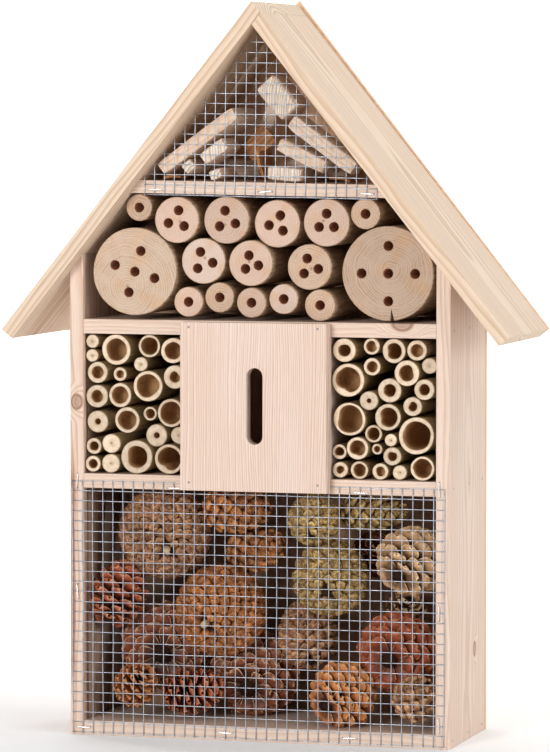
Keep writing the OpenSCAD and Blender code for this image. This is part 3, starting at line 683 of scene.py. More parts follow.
def build_log(node, materials, pith, count, seed, crack=None):
    """One drilled log: a sawn face with holes in it, a peeled side, and the bores."""
    bm = cad_bmesh(node)
    near = min(v.co.y for v in bm.verts)
    far = max(v.co.y for v in bm.verts)
    loops = rim_loops(bm, near)
    cx, cz, radius = loops[0]
    holes = loops[1:]
    inner = [v.co.y for v in bm.verts if near + MM < v.co.y < far - MM]
    floor = max(inner) if inner else near + 40 * MM
    bm.free()
    rng = random.Random(seed)
    outline = log_outline(cx, cz, radius, count, seed, crack)
    rim, chamfer, face_drop = 0.45 * MM, 0.25 * MM, 0.12 * MM
    # the flat face is cut up about every 2 mm, and this cutting keeps clear of the rim and the holes
    step, rim_clear, hole_clear = 2.2 * MM, radius * 0.93 - MM, 1.1 * MM
    flat, edges = [], []

    def closed_ring(points):
        start = len(flat)
        flat.extend(Vector(p) for p in points)
        edges.extend((start + k, start + (k + 1) % len(points)) for k in range(len(points)))

    shrink = 1 - rim / radius
    closed_ring([(cx + (x - cx) * shrink, cz + (z - cz) * shrink) for x, z in outline])
    hole_sides = 24
    for hx, hz, hr in holes:
        closed_ring([
            (hx + x * (1 + 0.02 * rng.uniform(-1, 1)), hz + z * (1 + 0.02 * rng.uniform(-1, 1)))
            for x, z in circle(0, 0, hr + chamfer, hole_sides)
        ])
    steps = int(radius / step) + 1
    for i in range(-steps, steps + 1):
        for j in range(-steps, steps + 1):
            x = cx + (i + rng.uniform(-0.3, 0.3)) * step
            z = cz + (j + rng.uniform(-0.3, 0.3)) * step
            clear_rim = math.hypot(x - cx, z - cz) < rim_clear
            clear_holes = all(math.hypot(x - hx, z - hz) > hr + hole_clear for hx, hz, hr in holes)
            if crack and clear_rim:
                away = (math.atan2(z - cz, x - cx) - crack[0] + math.pi) % TAU - math.pi
                if abs(away) < 0.25 and math.hypot(x - cx, z - cz) > radius - crack[1] - 2 * MM:
                    clear_rim = False
            if clear_rim and clear_holes:
                flat.append(Vector((x, z)))
    points, _, triangles = delaunay_2d_cdt(flat, edges, [], 1, 1e-7)[:3]
    heap = Heap()
    front_verts = [(p.x, near + face_drop * (1 + rough((p.x, 0, p.y), 500, seed)), p.y) for p in points]
    kept = []
    for t in triangles:
        mx, mz = sum((points[i] for i in t), Vector((0, 0))) / 3
        if all(math.hypot(mx - hx, mz - hz) > hr + 0.1 * MM for hx, hz, hr in holes):
            turned = (points[t[1]] - points[t[0]]).cross(points[t[2]] - points[t[0]]) < 0
            kept.append(tuple(reversed(t)) if turned else tuple(t))
    heap.add(front_verts, kept)

    # side wall: rounded rim, body rows and back rim
    rows = [(near + face_drop, shrink), (near + 0.2 * MM, 1 - 0.3 * rim / radius), (near + rim, 1.0)]
    body_rows = 9
    rows += [(near + rim + (far - near - 2 * rim) * k / body_rows, None) for k in range(1, body_rows)]
    rows += [(far - rim, 1.0), (far, shrink)]
    verts = []
    for y, share in rows:
        for x, z in outline:
            keep = share
            if share is None:
                keep = 1 - 0.006 * (1 + rough((x, y, z), 90, seed))
            verts.append((cx + (x - cx) * keep, y, cz + (z - cz) * keep))
    sides = sleeve(len(rows), count)
    back = fan((len(rows) - 1) * count, count, len(verts))
    verts.append((cx, far, cz))
    heap.add(verts, sides + back, [1] * len(sides) + [0] * count)

    for hx, hz, hr in holes:
        levels = [
            (near + face_drop, hr + chamfer), (near + 2 * chamfer, hr),
            (floor - MM, hr * 0.97), (floor, hr * 0.4)
        ]
        verts = [(x, y, z) for y, r in levels for x, z in circle(hx, hz, r, hole_sides)]
        faces = sleeve(len(levels), hole_sides, inside_out=True)
        faces += fan((len(levels) - 1) * hole_sides, hole_sides, len(verts), inside_out=True)
        heap.add(verts + [(hx, floor, hz)], faces, 2)
    mesh = heap.mesh(node)
    face_outward(mesh, 1e-6)
    give_grain(mesh, grain_frame(ALONG_Y, ALONG_X, (cx + pith[0], near, cz + pith[1])))
    put_attribute(mesh, "tone", "POINT", [rng.random()] * len(mesh.vertices))
    add_piece(node + "_wood", mesh, materials, "branch_wood", [node], smooth=True)


peeled = peeled_side("peeled_side", (0.52, 0.36, 0.24), (0.30, 0.18, 0.10))
drilled = bore_wall("drilled_bore", (0.46, 0.20, 0.11), (0.22, 0.085, 0.045))
faces_of = {
    "yellow": log_face("log_face_yellow", (0.66, 0.50, 0.38), (0.46, 0.30, 0.19), 1.5, 0.9),
    "pink": log_face("log_face_pink", (0.68, 0.49, 0.39), (0.50, 0.31, 0.22), 1.7, 0.5),
    "grey": log_face("log_face_grey", (0.68, 0.52, 0.43), (0.50, 0.35, 0.27), 1.3, 0.5),
    "tan": log_face("log_face_tan", (0.62, 0.45, 0.335), (0.43, 0.27, 0.175), 1.6, 0.9),
}
LOG_LOOKS = {
    "large_log_1": ("yellow", (-4.8, -9.2), None), "large_log_2": ("tan", (1.5, 2.0), (-1.50, 8.0)),
    "medium_log_1": ("pink", (2, -1), None), "medium_log_2": ("pink", (-1, -3), None),
    "medium_log_3": ("pink", (2, 2), None), "medium_log_4": ("pink", (-2, 1), None),
    "medium_log_5": ("grey", (1, 2), None), "medium_log_6": ("pink", (-1, 1), None),
    "medium_log_7": ("tan", (1, -1), None), "small_log_1": ("tan", (0.5, 0.5), None),
    "small_log_2": ("tan", (0.5, -0.5), None), "small_log_3": ("pink", (0, 1), None),
    "small_log_4": ("tan", (1, 0), None), "small_log_5": ("pink", (0, 0.5), None),
    "small_log_6": ("grey", (-1, 0), None), "small_log_7": ("tan", (0.5, -1), None),
}
for seed, (node, (look, pith_mm, crack_mm)) in enumerate(LOG_LOOKS.items()):
    crack = crack_mm and (crack_mm[0], crack_mm[1] * MM)
    count = 144 if node.startswith("large") else 84 if node.startswith("medium") else 60
    pith = (pith_mm[0] * MM, pith_mm[1] * MM)
    build_log(node, [faces_of[look], peeled, drilled], pith, count, seed + 1, crack)


# Reeds

def build_reeds(node, seed):
    """Every reed of one bay: cut ring, bore with its membrane, and skin."""
    rng = random.Random(seed)
    heap = Heap()
    sides = 40
    for points, a, b in solids(node):
        cx, cz, near, far = (a[0] + b[0]) / 2, (a[2] + b[2]) / 2, a[1], b[1]
        radius = (b[0] - a[0]) / 2
        bore = min(math.hypot(p.x - cx, p.z - cz) for p in points)
        lobe_seed, tone = rng.uniform(0, 90), rng.random()
        squash, turn0 = rng.uniform(0.0, 0.035), rng.uniform(0, TAU)
        dent = rng.uniform(0.10, 0.30) if bore > 2.2 * MM and rng.random() < 0.4 else 0.05
        dent_turn = rng.uniform(0, TAU)
        lean = rng.uniform(-0.03, 0.03)

        def ring(share, y, skew=0.0):
            """Points at a share of the wall from the bore, 0, to the skin, 1."""
            out = []
            for k, (east, up) in enumerate(circle(0, 0, 1, sides)):
                turn = TAU * k / sides
                outer = radius * (1 - squash * (0.5 + 0.5 * math.cos(2 * (turn - turn0))))
                outer -= 0.10 * MM * (1 + rough((east, up, 0), 2, lobe_seed))
                notch = max(0.0, math.cos(turn - dent_turn)) ** 6
                inner = bore * (1 - dent * notch) * (1 + 0.05 * rough((east, 0, up), 1.5, lobe_seed))
                r = inner + (outer - inner) * share
                x, z = r * east, r * up
                out.append((cx + x, y + skew * x + 0.07 * MM * rough((x, 0, z), 900, lobe_seed), cz + z))
            return out

        lip = 0.35 * MM
        depth = near + (rng.uniform(0.8, 2.6) * bore * 2 + 2 * MM)
        # the cut ring's rounded section: (share of the wall, depth in lips)
        shares = [(0.0, 1.2), (0.06, 0.3), (0.25, 0), (0.6, 0), (0.88, 0.2), (1.0, 1.3)]
        rows = [ring(0.0, depth), ring(0.0, near + (depth - near) * 0.5)]
        rows += [ring(share, near + drop * lip, lean) for share, drop in shares]
        joint = near + rng.uniform(15, 70) * MM
        rows += [ring(1.0, y) for y in (joint - 1.5 * MM, joint, joint + 1.5 * MM, far)]
        verts = [p for row in rows for p in row]
        marks = [0.0, 0.0] + [share for share, _ in shares] + [1.0] * 4
        faces, n = sleeve(len(rows), sides, inside_out=True), sides
        # two rows of the bore, five of the cut ring, and the skin's
        slots = [1] * (2 * n) + [0] * (5 * n) + [2] * ((len(rows) - 8) * n)
        faces += fan(0, n, len(verts)) + fan((len(rows) - 1) * n, n, len(verts) + 1, inside_out=True)
        verts += [(cx, depth + 0.25 * bore, cz), (cx, far, cz)]
        slots += [1] * n + [0] * n
        marks = [m for m in marks for _ in range(n)] + [0.0, 0.5]
        heap.add(verts, faces, slots, {"ring": [(m, tone, 0.0) for m in marks]})
        if bore < 1.2 * MM:
            plug_y = near + 0.5 * MM
            # the soft filling, with a small hole off its middle
            px, pz = cx + 0.25 * bore * math.cos(lobe_seed), cz + 0.25 * bore * math.sin(lobe_seed)
            hole = [(x, plug_y, z) for x, z in circle(px, pz, 0.42 * bore, n)]
            fill = hole + ring(0.45, plug_y) + [(px, plug_y + 2.5 * MM, pz)]
            plug_faces = fan(0, n, 2 * n) + sleeve(2, n, inside_out=True)
            heap.add(fill, plug_faces, [1] * n + [3] * n, {"ring": [(0.3, tone, 0.0)] * len(fill)})
    mesh = heap.mesh(node)
    face_outward(mesh)
    materials = [cut_reed, reed_bore, skin_reed, pith_reed]
    add_piece(node + "_cut", mesh, materials, "reed", [node], smooth=True)


cut_reed, pith_reed, skin_reed = reed_end(), reed_pith(), reed_skin()
reed_bore = bore_wall("reed_bore", (0.60, 0.36, 0.18), (0.34, 0.19, 0.085))
build_reeds("left_reeds", 11)
build_reeds("right_reeds", 12)


# Offcuts and bark in the attic

def box_frame(group):
    """A box's corner and its three edges, the longest first."""
    start = group[0]
    arms = [e.other_vert(start).co - start.co for e in start.link_edges]
    arms.sort(key=lambda arm: -arm.length)
    return start.co.copy(), arms[:3]


def block(heap, corner, arms, grain_arm, seed, wear, taper, curl):
    """A rough block of wood: a box of many faces with uneven sides and eased corners."""
    rng = random.Random(seed)
    cuts = (12, 5, 8)
    sizes = [arm.length for arm in arms]
    units = [arm.normalized() for arm in arms]
    grid, verts, faces = {}, [], []
    wander = rng.uniform(0, 90)
    axes = sorted(range(3), key=lambda k: k != grain_arm)
    rows = np.array([units[k] for k in axes])
    pith = np.array(corner) + sum(
        np.array(units[k]) * sizes[k] * rng.uniform(0.4, 2.2) * rng.choice((-1, 1)) for k in axes[1:]
    )

    def vertex(*key):
        if key in grid:
            return grid[key]
        spot = [step / cut - 0.5 for step, cut in zip(key, cuts)]
        at_rim = [abs(abs(s) - 0.5) < 1e-6 for s in spot]
        narrow = 1 - taper * (spot[grain_arm] + 0.5)
        local = [sizes[a] * spot[a] * (1 if a == grain_arm else narrow) for a in range(3)]
        ease = min(sizes) * 0.05 * max(0, sum(at_rim) - 1)
        local = [c - math.copysign(ease, c) if rim else c for c, rim in zip(local, at_rim)]
        point = corner + sum((u * (d * 0.5 + c) for u, d, c in zip(units, sizes, local)), Vector())
        point += units[2] * (curl * spot[grain_arm] ** 2 * 4)
        jitter = Vector([rough(point, 180, wander + 11 * a) for a in range(3)])
        point -= jitter * wear * (1.0 if at_rim[grain_arm] else 0.35)
        grid[key] = len(verts)
        verts.append(point)
        return grid[key]

    for axis in range(3):
        a, b = (axis + 1) % 3, (axis + 2) % 3
        for level in (0, cuts[axis]):
            for p in range(cuts[a]):
                for q in range(cuts[b]):
                    quad = []
                    for dp, dq in ((0, 0), (1, 0), (1, 1), (0, 1)):
                        index = [0, 0, 0]
                        index[axis], index[a], index[b] = level, p + dp, q + dq
                        quad.append(vertex(*index))
                    faces.append(tuple(quad) if level else tuple(reversed(quad)))
    if Matrix([tuple(u) for u in units]).determinant() < 0:
        faces = [tuple(reversed(f)) for f in faces]
    grain = [tuple(rows @ (np.array(v) - pith)) for v in verts]
    ends = []
    for f in faces:
        normal = (verts[f[1]] - verts[f[0]]).cross(verts[f[2]] - verts[f[0]])
        ends.append(1.0 if abs(normal.normalized().dot(units[grain_arm])) > 0.7 else 0.0)
    heap.add(verts, faces, 0, {"grain": grain}, {"end": ends})


def build_blocks(node, material, slot, wear, seed, end_on=(), taper=0.0, curl=0.0):
    """The blocks of one node. Those that are end on have their grain from front to back."""
    bm = cad_bmesh(node)
    heap = Heap()
    groups = sorted(islands(bm), key=lambda g: tuple(round(c, 5) for c in corners(v.co for v in g)[0]))
    for k, group in enumerate(groups):
        corner, arms = box_frame(group)
        along_y = [a for a in range(3) if abs(arms[a].normalized().y) > 0.9][0]
        grain_arm = along_y if k in end_on else (0 if along_y != 0 else 1)
        block(heap, corner, arms, grain_arm, seed + k, wear, taper, curl)
    bm.free()
    add_piece(node + "_rough", heap.mesh(node), [material], slot, [node])


offcut = softwood("offcut_wood", (0.82, 0.65, 0.52), (0.56, 0.34, 0.21), 1.9, 0.7, 0.6,
                  end_tint=(0.92, 0.82, 0.70))
bark_look = bark()
build_blocks("attic_plank_left", offcut, "offcut_wood", 0.5 * MM, 21)
build_blocks("attic_plank_right", offcut, "offcut_wood", 0.6 * MM, 22)
build_blocks("attic_plank_low", offcut, "offcut_wood", 0.5 * MM, 23)
build_blocks("attic_blocks", offcut, "offcut_wood", 0.5 * MM, 31, end_on=(1, 2, 3, 5, 7))
build_blocks("attic_bark", bark_look, "bark", 1.3 * MM, 41, taper=0.25, curl=0.8 * MM)


# Pine cones

def egg(angle, radius, half_len):
    """A cone's profile at an angle from its stalk, 0, to its tip, pi: (from the axis, along the axis)."""
    blunt, widest = 0.12, 1.01
    return radius * math.sin(angle) * (1 + blunt * math.cos(angle)) / widest, -half_len * math.cos(angle)


def along_egg(angle, step, radius, half_len):
    """The way along the profile from a step before an angle to a step after it."""
    ra, za = egg(angle - step, radius, half_len)
    rb, zb = egg(angle + step, radius, half_len)
    return rb - ra, zb - za


def spiral(radius, half_len, size, start, stop):
    """Angles of the scales along a cone, each with a scale's size there."""
    steps = 400
    total, marks = 0.0, []
    for k in range(steps):
        angle = start + (stop - start) * (k + 0.5) / steps
        r, _ = egg(angle, radius, half_len)
        run = math.hypot(*along_egg(angle, 0.002, radius, half_len)) / 0.004 * (stop - start) / steps
        here = size * (0.52 + 0.48 * math.sin(angle) ** 0.7)
        before = total
        total += TAU * r * run / here ** 2
        marks += [(angle, here)] * (int(total) - int(before))
    return marks


def sideways(turn):
    """Directions out of a cone's axis and around it."""
    return Vector((math.cos(turn), math.sin(turn), 0)), Vector((-math.sin(turn), math.cos(turn), 0))


def closed_cone(heap, radius, half_len, size, lift, dome, seed):
    """Overlapping shields with a boss each, on a spiral."""
    rng = random.Random(seed)
    core = 0.93         # the shields' middles lie a little inside the egg
    stem = 0.86         # and the stem behind them further in
    half_size = 0.63    # of a shield, over the spacing of the spiral
    oval = 0.94         # a shield's height over its width
    marks = spiral(radius, half_len, size, 0.16, 3.02)
    n = 10
    for i, (angle, here) in enumerate(marks):
        turn = i * GOLDEN_TURN + rng.uniform(-0.012, 0.012)
        r, z = egg(angle, radius * core, half_len * core)
        dr, dz = along_egg(angle, 0.01, radius * core, half_len * core)
        radial, around = sideways(turn)
        spot = radial * r + Vector((0, 0, z))
        ahead = (radial * dr + Vector((0, 0, dz))).normalized()
        out = around.cross(ahead)
        tone = rng.uniform(-1, 1)
        tilt = lift * rng.uniform(0.85, 1.15)
        half = here * half_size * rng.uniform(0.96, 1.04)
        tall = half * oval
        verts, places = [], []
        for a in range(n + 1):
            for b in range(n + 1):
                u, v = 2 * a / n - 1, 2 * b / n - 1
                # halfway from a disc to a diamond that points around and along the cone
                round_u, round_v = u * math.sqrt(1 - 0.5 * v * v), v * math.sqrt(1 - 0.5 * u * u)
                du = 0.26 * (u - v) + 0.34 * (round_u - round_v)
                dv = 0.26 * (u + v) + 0.34 * (round_u + round_v)
                reach = max(abs(u), abs(v))
                top = dome * (1 - reach ** 2.2) - 0.42 * reach ** 6
                top += 0.05 * (1 - abs(dv)) * (1 - reach)
                top += 0.10 * math.exp(-(reach / 0.20) ** 2) - 0.07 * math.exp(-(reach / 0.09) ** 2)
                top += tilt * dv * (1 - 0.3 * reach)
                top += 0.03 * rough((du * 2 + i, dv * 2, tone), 1.0, seed)
                verts.append(spot + around * (du * half) + ahead * (dv * tall) + out * (top * half))
                even = reach / max(1e-6, math.hypot(du, dv))
                places.append((du * even, dv * even, tone))
        heap.add(verts, lattice(n, n), 0, {"scale": places})
    # the stem behind the shields
    rings, sides = 14, 28
    verts = []
    for r in range(rings + 1):
        reach, z = egg(math.pi * r / rings, radius * stem, half_len * stem)
        verts += [(x, y, z) for x, y in circle(0, 0, reach, sides)]
    heap.add(verts, sleeve(rings + 1, sides), 1, {"scale": [(0.9, 0.0, -0.8)] * len(verts)})


def open_cone(heap, radius, half_len, size, spread, seed):
    """Thin curved scales that stand out from a stem."""
    rng = random.Random(seed)
    first, last = 0.42, 2.9
    marks = spiral(radius, half_len, size, first, last)
    stem = 0.22 * radius
    nu, nv = 8, 12
    for i, (angle, here) in enumerate(marks):
        turn = i * GOLDEN_TURN + rng.uniform(-0.06, 0.06)
        share = (angle - first) / (last - first)
        r_end, z_end = egg(angle, radius * rng.uniform(0.95, 1.03), half_len)
        rise = math.radians(-18 + (spread + 18) * share ** 1.2)
        length = (r_end - 0.5 * stem) / math.cos(rise) if r_end > stem else half_len * 0.3
        length = min(length, radius * 1.05)
        radial, around = sideways(turn)
        axis = Vector(ALONG_Z)
        ahead = radial * math.cos(rise) + axis * math.sin(rise)
        root = radial * r_end + axis * z_end - ahead * length
        out = around.cross(ahead)     # towards the stalk side
        tone = rng.uniform(0.15, 1.0)
        half = here * 0.62 * rng.uniform(0.92, 1.08)
        hook = rng.uniform(0.03, 0.12)
        verts, places = [], []
        for side in (1, -1):
            for b in range(nv + 1):
                v = b / nv
                wide = half * (0.30 + 0.70 * min(1.0, v * 1.35) ** 0.8)
                if v > 0.74:
                    wide *= math.sqrt(max(0.0, 1 - ((v - 0.74) / 0.265) ** 2.4))
                thick = 0.35 * MM + 0.55 * MM * v
                boss = 0.16 * half * math.exp(-((v - 0.88) / 0.10) ** 2)
                for a in range(nu + 1):
                    u = 2 * a / nu - 1
                    cup = -0.16 * half * u * u * v
                    curve = hook * length * max(0.0, v - 0.6) ** 2 * 4
                    lift = cup - curve + side * thick * (1 - abs(u) ** 3)
                    if side > 0:
                        point = 0.05 * half * math.exp(-(u * u + ((v - 0.88) / 0.06) ** 2) * 5)
                        lift += boss * (1 - u * u) + point
                    lift += 0.02 * half * rough((u * 2 + i, v * 4, tone), 1.0, seed)
                    verts.append(root + ahead * (length * v) + around * (wide * u) + out * lift)
                    places.append((u, v, tone if side < 0 else -tone))
        faces = lattice(nv, nu, flipped=True) + lattice(nv, nu, start=len(verts) // 2)
        heap.add(verts, faces, 0, {"scale": places})
    verts, faces = tube([(0, 0, -half_len * 0.9), (0, 0, 0), (0, 0, half_len * 0.8)], stem * 0.8, 12)
    heap.add(verts, faces, 1, {"scale": [(0.0, 0.2, -0.5)] * len(verts)})


def stalk(heap, half_len, thick, seed):
    """The broken stub of the stalk at a cone's base."""
    rng = random.Random(seed)
    sides = 14
    rows, verts = [(0.80, 1.25), (0.97, 1.0), (1.04, 0.92), (1.06, 0.55)], []
    for along, share in rows:
        for x, y in circle(0, 0, thick * share, sides):
            uneven = 1 + 0.14 * rng.uniform(-1, 1)
            verts.append((x * uneven, y * uneven, -half_len * along + 0.3 * MM * rng.uniform(-1, 1)))
    faces = sleeve(len(rows), sides, inside_out=True)
    faces += fan((len(rows) - 1) * sides, sides, len(verts), inside_out=True)
    verts.append((0, 0, -half_len * 1.05))
    heap.add(verts, faces, 2, {"scale": [(0.5, 0.5, 0.5)] * len(verts)})


def stalk_wood():
    """The pale broken wood of a stalk."""
    s = Shader("stalk_wood", Specular_IOR_Level=0.2)
    p = s.place()
    fibre = s.noise(p, 1.6, 3.0, 0.7)
    s.colour = s.mix(s.span(fibre, 0.3, 0.7), (0.70, 0.55, 0.36), (0.40, 0.27, 0.15))
    return s.finish(fibre, 0.6, 0.85, fibre, 0.3)


# Each surface of the cones: its maker, and the four colours of that maker. A shield's second colour is both its
# dark mottle and the painted shade at its margins
CONE_SURFACES = {
    "tan": (cone_shield, (0.62, 0.31, 0.145), (0.13, 0.05, 0.022), (0.10, 0.035, 0.016), (0.86, 0.54, 0.29)),
    "orange": (cone_shield, (0.66, 0.25, 0.07), (0.15, 0.045, 0.014), (0.12, 0.032, 0.01), (0.84, 0.38, 0.12)),
    "green": (cone_shield, (0.62, 0.40, 0.14), (0.14, 0.075, 0.022), (0.14, 0.06, 0.02), (0.86, 0.63, 0.27)),
    "brown": (cone_scale, (0.14, 0.034, 0.014), (0.085, 0.024, 0.011), (0.26, 0.075, 0.03), (0.84, 0.50, 0.28)),
    "red": (cone_scale, (0.33, 0.06, 0.018), (0.17, 0.036, 0.013), (0.38, 0.08, 0.027), (0.66, 0.28, 0.14)),
    "rust": (cone_scale, (0.38, 0.12, 0.034), (0.20, 0.062, 0.02), (0.60, 0.21, 0.06), (0.88, 0.48, 0.20)),
    "light": (cone_scale, (0.34, 0.17, 0.08), (0.20, 0.10, 0.045), (0.60, 0.35, 0.17), (0.88, 0.62, 0.36)),
}
cone_looks = {name: make("cone_" + name, *colours) for name, (make, *colours) in CONE_SURFACES.items()}
# painted shade: near-black stems stand in for the shade inside the cones, seen through the gaps between scales;
# the dark stalk stubs use this colour too
core_brown = bore_wall("cone_core", (0.045, 0.02, 0.012), (0.018, 0.008, 0.005))
stub = stalk_wood()
# Each cone: look, scale size in mm, a shield's lift or the spread in degrees, dome (0 if the cone is open),
# (turn, lean) in degrees, and slot
CONE_LOOKS = [
    ("tan", 8.2, 0.36, 0.42, (200, 70), "tan"),
    ("red", 10.0, 60, 0, (150, 30), "dark"),
    ("orange", 8.0, 0.45, 0.40, (90, 88), "orange"),
    ("orange", 7.6, 0.40, 0.42, (80, 75), "orange"),
    ("orange", 7.8, 0.30, 0.50, (170, 75), "orange"),
    ("brown", 10.5, 62, 0, (190, 80), "dark"),
    ("brown", 10.0, 60, 0, (180, 70), "dark"),
    ("rust", 7.6, 60, 0, (60, 50), "orange"),
    ("green", 7.2, 0.34, 0.42, (180, 50), "tan"),
    ("green", 7.2, 0.60, 0.32, (90, 88), "tan"),
    ("brown", 8.6, 55, 0, (20, 60), "dark"),
    ("light", 11.0, 60, 0, (160, 60), "dark"),
    ("green", 8.0, 0.34, 0.62, (185, 70), "tan"),
    ("tan", 7.8, 0.34, 0.58, (200, 40), "tan"),
    ("red", 11.5, 62, 0, (175, 80), "orange"),
    ("rust", 8.8, 60, 0, (150, 70), "orange"),
    ("tan", 7.2, 0.36, 0.50, (90, 40), "tan"),
    ("red", 8.4, 60, 0, (100, 80), "orange"),
    ("light", 8.0, 60, 0, (30, 50), "tan"),
]
PALE_STALKS = (1, 5)
CLOSED_SWELL, OPEN_SWELL = 1.06, 1.14     # scales reach past the egg that stands in for them
ROOM = 0.4 * MM
for i, (look, size_mm, lift, dome, (turn, lean), slot) in enumerate(CONE_LOOKS, 1):
    node = f"cone_{i}"
    bm = cad_bmesh(node)
    turned = Matrix.Rotation(math.radians(turn), 3, "Z") @ Matrix.Rotation(math.radians(lean), 3, "X")
    spans = [[v.co.dot(axis) for v in bm.verts] for axis in turned.col]
    bm.free()
    radius, _, half_len = [(max(span) - min(span)) / 2 for span in spans]
    middle = turned @ Vector([(max(span) + min(span)) / 2 for span in spans])
    heap = Heap()
    if dome:
        swell = CLOSED_SWELL
        closed_cone(heap, radius * swell, half_len * swell, size_mm * MM, lift, dome, 100 + i)
    else:
        swell = OPEN_SWELL
        open_cone(heap, radius * swell, half_len * swell, size_mm * MM, lift, 100 + i)
    stalk(heap, half_len, 2.2 * MM if radius > 20 * MM else 1.6 * MM, 200 + i)
    mesh = heap.mesh(node)
    mesh.transform(Matrix.Translation(middle) @ turned.to_4x4())
    # scales press against the boards and the mesh
    for v in mesh.vertices:
        v.co = [min(max(c, a + ROOM), b - ROOM) for c, a, b in zip(v.co, chamber_low, chamber_high)]
    looks = [cone_looks[look], core_brown, stub if i in PALE_STALKS else core_brown]
    add_piece(node + "_scales", mesh, looks, "cone_" + slot, [node], smooth=True)


# Wire mesh

def build_wires(node, sway, seed):
    """Each wire of a mesh again, with the slight waves of real welded wire."""
    heap = Heap()
    rng = random.Random(seed)
    for points, a, b in solids(node):
        size = b - a
        upright = size[2] > size[0]
        thick = float(size[1]) / 2
        ends = sorted(points, key=lambda c: c[2] if upright else c[0])
        half = len(ends) // 2
        start = sum(ends[:half], Vector()) / half
        stop = sum(ends[half:], Vector()) / (len(ends) - half)
        count = max(4, int((stop - start).length / (7 * MM)))
        shift, path = rng.uniform(0, 90), []
        bias = 0.06 * MM if upright else -0.06 * MM
        side = Vector(ALONG_X if upright else ALONG_Z)
        for k in range(count + 1):
            point = start.lerp(stop, k / count)
            wave = rough(point, 22, shift) * sway
            ripple = rough(point, 90, shift + 5) * sway * 0.35
            deep = bias + 0.12 * MM * rough(point, 30, seed)
            path.append(point + side * (wave + ripple) + Vector((0, deep, 0)))
        heap.add(*tube(path, thick * 0.8, 8))
    add_piece(node + "_wires", heap.mesh(node), [zinc_wire], "mesh_wire", [node], smooth=True)


zinc_wire = metal("zinc_wire", (0.52, 0.55, 0.61), (0.30, 0.32, 0.36), 0.42, 0.25, 0.7)
build_wires("lower_mesh", 0.35 * MM, 51)
build_wires("attic_mesh", 0.30 * MM, 52)


# Staples, nails and hanger

def build_staples(node, seed):
    """Bright wire staples with rounded shoulders, driven in a little askew."""
    heap = Heap()
    rng = random.Random(seed)
    for _, a, b in solids(node):
        middle = (a + b) / 2
        upright = b[2] - a[2] > b[0] - a[0]
        half = float(max(b[0] - a[0], b[2] - a[2])) / 2 - 0.35 * MM
        askew = math.radians(rng.uniform(-7, 7)) + (math.pi / 2 if upright else 0)
        along = Vector((math.cos(askew), 0, math.sin(askew)))
        low_end = rng.uniform(0.0, 0.25) * MM
        crown, foot = float(a[1]) + 0.36 * MM, float(b[1])
        middle = Vector((float(middle[0]), 0, float(middle[2])))
        path = []
        for side in (-1, 1):
            dip = low_end if side > 0 else 0.0
            leg = [(half, foot), (half, crown + 1.5 * MM), (half, crown + 0.8 * MM + dip),
                   (half - 0.12 * MM, crown + 0.3 * MM + dip), (half - 0.45 * MM, crown + 0.06 * MM + dip),
                   (half - 1.0 * MM, crown + dip), (half * 0.5, crown + dip * 0.6)]
            points = [middle + along * (side * s) + Vector((0, y, 0)) for s, y in leg]
            path += points if side < 0 else points[::-1]
        heap.add(*tube(path, 0.36 * MM, 10))
    add_piece(node + "_bent", heap.mesh(node), [staple_look], "staple_wire", [node], smooth=True)


staple_look = metal("staple_metal", (0.95, 0.95, 0.97), (0.70, 0.71, 0.74), 0.22, 0.6, 0.4)
build_staples("staples", 61)
dull_steel = metal("dull_steel", (0.30, 0.27, 0.25), (0.14, 0.10, 0.08), 0.5, 2.0, 0.8)
zinc_plate = metal("zinc_plate", (0.66, 0.66, 0.68), (0.48, 0.48, 0.47), 0.3, 0.35, 0.8)
for node, look in (("nails", dull_steel), ("hanger_screws", zinc_plate)):
    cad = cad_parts[node]
    cad.data.materials.clear()
    cad.data.materials.append(look)
hanger = eased("hanger_plate", 0.3 * MM, 1.4 * MM)
add_piece("hanger_plate_eased", hanger, [zinc_plate], "zinc_plate", ["hanger_plate"])


# Camera, light and floor

CAMERA_SPOT = Vector((0.7587, -2.5860, 0.3926))
CAMERA_AHEAD = Vector((-0.28126856, 0.95763876, -0.06177375)).normalized()
CAMERA_RIGHT = Vector((0.95946852, 0.28181577, 0.00015183))
camera_up = CAMERA_RIGHT.cross(CAMERA_AHEAD).normalized()
camera_side = CAMERA_AHEAD.cross(camera_up)
lens = bpy.data.cameras.new("photo_view")
lens.lens = 205.64
lens.sensor_width = 36
lens.clip_start, lens.clip_end = 0.05, 50
camera = bpy.data.objects.new("photo_view", lens)
bpy.context.scene.collection.objects.link(camera)
turned = Matrix((camera_side, camera_up, -CAMERA_AHEAD)).transposed()
camera.matrix_world = Matrix.Translation(CAMERA_SPOT) @ turned.to_4x4()
bpy.context.scene.camera = camera


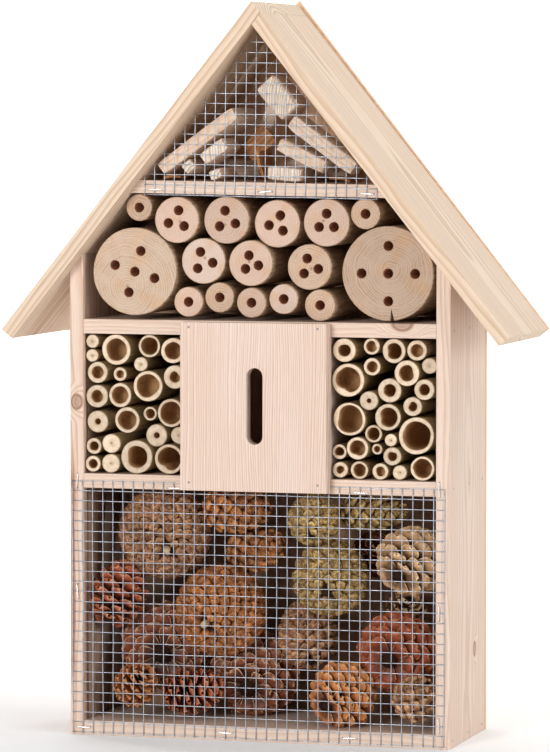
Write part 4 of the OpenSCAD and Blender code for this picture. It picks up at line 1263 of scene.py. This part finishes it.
def soft_light(name, spot, aim, size, power):
    data = bpy.data.lights.new(name, "AREA")
    data.shape = "DISK"
    data.size, data.energy = size, power
    light = bpy.data.objects.new(name, data)
    bpy.context.scene.collection.objects.link(light)
    light.location = spot
    light.rotation_euler = (Vector(aim) - Vector(spot)).to_track_quat("-Z", "Y").to_euler()


soft_light("front_left", (-0.6, -3.0, 0.8), (0, 0, 0.2), 0.8, 48)
soft_light("right", (2.5, -0.9, 0.7), (0, 0, 0.22), 1.2, 20)
soft_light("overhead", (0.6, -0.2, 2.2), (0, 0, 0.2), 1.4, 14)
soft_light("behind", (-1.2, 2.0, 1.4), (0, 0, 0.3), 1.6, 7)
soft_light("backdrop_left", (-2.4, 1.4, 1.8), (-1.2, 3.1, 0.4), 1.2, 50)
soft_light("backdrop_right", (0.9, 1.8, 1.8), (-0.4, 3.1, 0.4), 1.2, 50)

world = bpy.data.worlds.new("studio")
world.use_nodes = True
backdrop = world.node_tree.nodes["Background"]
backdrop.inputs["Color"].default_value = (1, 1, 1, 1)
backdrop.inputs["Strength"].default_value = 0.34
bpy.context.scene.world = world
bpy.context.scene.view_settings.view_transform = "Standard"

floor_mesh = bpy.data.meshes.new("floor")
sweep = [(-4.0, 0.0), (2.0, 0.0)]
bend, bend_steps = 1.2, 8
for step in range(1, bend_steps + 1):
    rise = math.pi / 2 * step / bend_steps
    sweep.append((2.0 + bend * math.sin(rise), bend - bend * math.cos(rise)))
sweep += [(3.2, 4.5)]
half_floor = 5.0
floor_verts = [(x, y, z) for y, z in sweep for x in (-half_floor, half_floor)]
floor_mesh.from_pydata(floor_verts, [], lattice(len(sweep) - 1, 1, flipped=True))
floor_mesh.shade_smooth()
paper = Shader("pale_paper", roughness=0.9, Specular_IOR_Level=0.1)
fleck = paper.noise(paper.place(), 0.02, 2.0)
paper.set("Base Color", paper.mix(fleck, (0.93, 0.93, 0.93), (0.90, 0.90, 0.90)))
floor_mesh.materials.append(paper.material)
floor = bpy.data.objects.new("floor", floor_mesh)
bpy.context.scene.collection.objects.link(floor)
floor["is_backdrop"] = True

boxes = {"cad": cad_box, "visual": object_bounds()}
{key: [[float(c) for c in corner] for corner in box] for key, box in boxes.items()}
